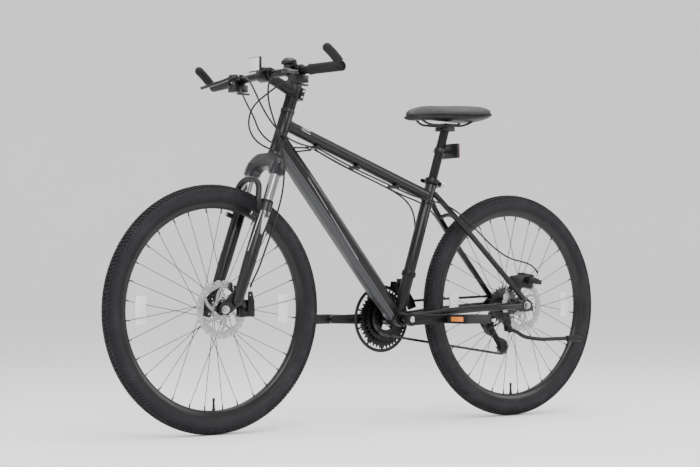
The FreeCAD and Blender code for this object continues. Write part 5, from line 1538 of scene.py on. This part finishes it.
# ---------------------------------------------------------------- brakes and drive
@dataclass
class Drivetrain:
    """Chainset, freewheel, chain, derailleurs, callipers and pedals."""

    shop: Shop

    def build(self) -> None:
        """Make and dress the drive."""
        finishes = self.shop.finishes
        refine("chainset", "cranks", finishes, lambda middle, size: (
            ("ring_steel", 0.0) if size.z > 0.1 else ("black_anodised", 0.0012)))
        refine("left_crank", "cranks", finishes, always("black_anodised", 0.0020))
        refine("freewheel_cogs", "freewheel", finishes, always("cog_steel", 0.0))
        refine("chain", "frame", finishes, always("chain_steel", 0.0))
        refine("rear_derailleur_cage", "rear_mech_cage", finishes, always("black_anodised", 0.0004))
        refine("front_derailleur_cage", "front_mech", finishes, always("ring_steel", 0.0004))
        refine("front_derailleur_clamp", "frame", finishes, always("black_anodised", 0.0010))
        refine("rear_derailleur_body", "frame", finishes, always("black_anodised", 0.0010))
        refine("rear_derailleur_links", "frame", finishes, always("black_anodised", 0.0006))
        refine("rear_derailleur_cage_knuckle", "rear_mech", finishes, always("black_anodised", 0.0010))
        for pulley in ("guide_pulley", "tension_pulley"):
            refine(pulley, pulley, finishes, always("black_plastic", 0.0002))
        for axle, holder in ((Axle.FRONT, "fork_legs"), (Axle.REAR, "frame")):
            word = axle.value
            refine(word + "_brake_calliper", holder, finishes, lambda middle, size: (
                ("crown_silver", 0.0004) if size.y < 0.004 else ("black_anodised", 0.0018)))
            refine(word + "_brake_arm", word + "_brake", finishes, always("black_anodised", 0.0010))
        for side in Side:
            self._pedal(side)
        self._crank_bolts()
        self._guard()
        self._bracket()
        self._wires()

    def _bracket(self) -> None:
        """Make the plate that carries the rear calliper from the left seatstay, and its two bolts."""
        outline = ((-514, 374), (-500, 391), (-470, 421), (-486, 431), (-540, 436), (-553, 424), (-534, 400))
        shape = bmesh.new()
        near = [shape.verts.new(mm(x, 61.0, z)) for x, z in outline]
        far = [shape.verts.new(mm(x, 67.6, z)) for x, z in outline]
        shape.faces.new(near)
        shape.faces.new(far[::-1])
        for index in range(len(outline)):
            after = (index + 1) % len(outline)
            shape.faces.new((near[after], near[index], far[index], far[after]))
        plate = bevelled(from_bmesh("calliper_bracket", shape, self.shop.finishes["black_anodised"]), 0.0014)
        self.shop.ride(plate, "frame")

    def _wires(self) -> None:
        """Make the bare wire between each brake housing's end and its arm."""
        for word, holder, start, end in (("front", "fork_legs", mm(464, 65, 402), mm(463.2, 64.3, 378.7)),
                                         ("rear", "frame", mm(-582, 78.5, 441), mm(-589, 77.3, 410.6))):
            shape = bmesh.new()
            steps = 8
            for step in range(steps):
                low = start.lerp(end, step / steps)
                high = start.lerp(end, (step + 1.02) / steps)
                tube_shape(shape, low, high, 0.0008, 8)
            wire = from_bmesh(word + "_brake_wire", shape, self.shop.finishes["bolt_steel"])
            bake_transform(wire)

    def _guard(self) -> None:
        """Make the smooth guard ring outside the large chainring, with ten small arms round it."""
        outline = [(0.0900, -0.0642), (0.0900, -0.0657), (0.0906, -0.0662), (0.0990, -0.0662), (0.1000, -0.0656),
                   (0.1000, -0.0648), (0.0990, -0.0641), (0.0906, -0.0641)]
        ring = lathe("chain_guard", outline, mm(-86, 0, 304), 120, self.shop.finishes["black_plastic"])
        things = [smooth(ring, 40.0)]
        for number in range(10):
            turn = 2 * math.pi * (number + 0.5) / 10
            shape = bmesh.new()
            foot = mm(-86 + 83 * math.cos(turn), -63.9, 304 + 83 * math.sin(turn))
            place = Matrix.Translation(foot) @ Matrix.Rotation(-turn, 4, "Y")
            box_shape(shape, mm(15, 4.2, 5), place)
            things.append(bevelled(from_bmesh("guard_arm_%d" % number, shape,
                                              self.shop.finishes["black_plastic"]), 0.0006))
        guard = joined("chain_guard", things)
        self.shop.ride(guard, "cranks")

    def _pedal(self, side: Side) -> None:
        """Dress a pedal and make its teeth."""
        node = side.word + "_pedal"
        refine(node, node, self.shop.finishes, lambda middle, size: (
            ("lens_amber", 0.0006) if size.x < 0.01 else ("black_plastic", 0.0014)))
        low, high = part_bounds(node)
        outer = high.y if side is Side.LEFT else low.y
        inner = outer - side.value * 0.094
        tooth = bmesh.new()
        bmesh.ops.create_cone(tooth, cap_ends=True, segments=4, radius1=0.0030, radius2=0.0012, depth=0.0034)
        unit = from_bmesh(node + "_tooth", tooth)
        places = []
        centre = (low + high) / 2
        for x in (-0.043, 0.043):
            for number in range(9):
                y = inner + (outer - inner) * (number + 0.5) / 9
                for flip in (0, 1):
                    z = centre.z + (0.0120 if not flip else -0.0120)
                    turn = Matrix.Rotation(math.pi * flip, 4, "X") @ Matrix.Rotation(math.pi / 4, 4, "Z")
                    places.append(Matrix.Translation((centre.x + x, y, z)) @ turn)
        teeth = self.shop.placer.place(node + "_teeth", unit, places, self.shop.finishes["black_plastic"])
        self.shop.ride(teeth, node)

    def _crank_bolts(self) -> None:
        """Make the crank bolts and the chainring bolts."""
        shape = bmesh.new()
        for side, y in ((1, 81.6), (-1, -79.6)):
            start = mm(-86, y - side * 2, 304)
            tube_shape(shape, start, start + mm(0, side * 3.2, 0), 8.6 * MM, 20)
            tube_shape(shape, start, start + mm(0, side * 4.0, 0), 5.0 * MM, 6)
        bolts = bevelled(from_bmesh("crank_bolts", shape, self.shop.finishes["bolt_steel"]), 0.0006)
        self.shop.ride(bolts, "cranks")
        shape = bmesh.new()
        start = mm(56, 0, 0)
        tube_shape(shape, start, start + mm(0, -3.4, 0), 4.2 * MM, 12)
        unit = from_bmesh("chainring_bolts", shape)
        ring = self.shop.repeater.around(unit, 5, mm(-86, -61.0, 304), self.shop.finishes["bolt_steel"])
        self.shop.ride(bevelled(ring, 0.0005), "cranks")


# ---------------------------------------------------------------- saddle
@dataclass
class Saddle:
    """Padded vinyl cover with piped seams, its base and rails, the post and the rear reflector."""

    shop: Shop
    lift_cap: float = 0.0022
    sections: tuple[tuple[float, float, float, float], ...] = (
        (-131, 9, 6, 907), (-136, 13, 10, 908), (-144, 17, 13.5, 909.5), (-160, 19.5, 16, 912),
        (-190, 21, 18.5, 916), (-220, 24.5, 19.5, 918), (-250, 30, 20.5, 919), (-280, 41, 21, 919.5),
        (-310, 55, 22, 920), (-338, 68.5, 22.3, 920.5), (-365, 77.5, 22.3, 921), (-388, 77.5, 20.5, 922.5),
        (-404, 71, 18, 924), (-414, 58, 13.5, 925), (-419, 44, 8.5, 926))

    def build(self) -> None:
        """Make and dress the saddle."""
        finishes = self.shop.finishes
        refine("saddle_base", "saddle", finishes, always("black_plastic", 0.0))
        refine("seat_post", "saddle", finishes, always("black_anodised", 0.0010))
        refine("rear_reflector", "saddle", finishes, lambda middle, size: (
            ("lens_red", 0.0010) if size.x < 0.01 else ("housing_plastic", 0.0022)))
        self._cover()

    def _point(self, section: tuple[float, float, float, float], turn: float) -> Vector:
        """Return a point of a section: a crowned top with a shallow channel, and a flat underside."""
        x, half_width, half_height, middle = section
        across = math.cos(turn)
        up = math.sin(turn)
        width = half_width * math.copysign(abs(across) ** 0.86, across)
        height = half_height * (up if up > 0 else up * 0.80)
        rear = max(0.0, min(1.0, (-x - 215) / 60)) * max(0.0, min(1.0, (418 + x) / 40))
        channel = 3.4 * rear * math.exp(-(width / 9.0) ** 2) if up > 0 else 0.0
        return mm(x, width, middle + height - channel)

    def _cover(self) -> None:
        """Make the padded cover, let it swell a little, then sew its seams."""
        shape = bmesh.new()
        rings = [[shape.verts.new(self._point(section, 2 * math.pi * number / 48)) for number in range(48)]
                 for section in self.sections]
        for before, here in zip(rings, rings[1:]):
            for index in range(48):
                after = (index + 1) % 48
                shape.faces.new((before[index], before[after], here[after], here[index]))
        shape.faces.new(rings[0])
        shape.faces.new(rings[-1])
        cover = from_bmesh("saddle_pad", shape, self.shop.finishes["saddle_vinyl"])
        cover = self._swell(cover)
        cover = smooth(cover, 80.0)
        self.shop.ride(cover, "saddle", "saddle_cover")
        self._seams()

    def _swell(self, cover: bpy.types.Object) -> bpy.types.Object:
        """Blow the pad up gently as cloth under pressure and keep each point near its place."""
        remesh = cover.modifiers.new("even", "REMESH")
        remesh.mode = "VOXEL"
        remesh.voxel_size = 0.005
        baked(cover)
        before = [vert.co.copy() for vert in cover.data.vertices]
        cloth = cover.modifiers.new("air", "CLOTH")
        cloth.settings.use_pressure = True
        cloth.settings.uniform_pressure_force = 4.0
        cloth.settings.effector_weights.gravity = 0.0
        scene = bpy.context.scene
        for number in range(1, 21):
            scene.frame_set(number)
        baked(cover)
        scene.frame_set(1)
        for vert, home in zip(cover.data.vertices, before):
            step = vert.co - home
            if step.length > self.lift_cap:
                vert.co = home + step.normalized() * self.lift_cap
        finer = cover.modifiers.new("finer", "SUBSURF")
        finer.levels = 1
        finer.render_levels = 1
        material = self.shop.finishes["saddle_vinyl"]
        cover = baked(cover)
        cover.data.materials.clear()
        cover.data.materials.append(material)
        return cover

    def _seams(self) -> None:
        """Lay the piped seam round the cover's edge."""
        rim = [self._point(section, math.radians(-14)) for section in self.sections[1:-1]]
        line = rim + [Vector((spot.x, -spot.y, spot.z)) for spot in reversed(rim)]
        curve = bpy.data.curves.new("saddle_piping", "CURVE")
        curve.dimensions = "3D"
        curve.bevel_depth = 0.0011
        curve.bevel_resolution = 2
        spline = curve.splines.new("NURBS")
        spline.points.add(len(line) - 1)
        for point, spot in zip(spline.points, line):
            point.co = (spot.x, spot.y * 1.022, spot.z - 0.0012, 1.0)
        spline.order_u = 3
        spline.use_cyclic_u = True
        thing = bpy.data.objects.new("saddle_piping", curve)
        bpy.context.scene.collection.objects.link(thing)
        mesh = bpy.data.meshes.new_from_object(thing.evaluated_get(bpy.context.evaluated_depsgraph_get()))
        bpy.data.objects.remove(thing)
        piping = smooth(new_object("saddle_piping", mesh, self.shop.finishes["black_plastic"]), 60.0)
        self.shop.ride(piping, "saddle", "saddle_cover")


# ---------------------------------------------------------------- the whole bike
def main() -> None:
    """Build the studio, the housings and every sub-assembly."""
    logging.basicConfig(level=logging.INFO, format="%(name)s: %(message)s")
    Studio().build()
    shop = Shop(Finishes(), Repeater(), Placer())
    Housings(shop).build()
    Wheel(shop, Axle.FRONT).build()
    Wheel(shop, Axle.REAR).build()
    MainFrame(shop).build()
    Fork(shop).build()
    Cockpit(shop).build()
    Drivetrain(shop).build()
    Saddle(shop).build()


if __name__ == "__main__":
    main()
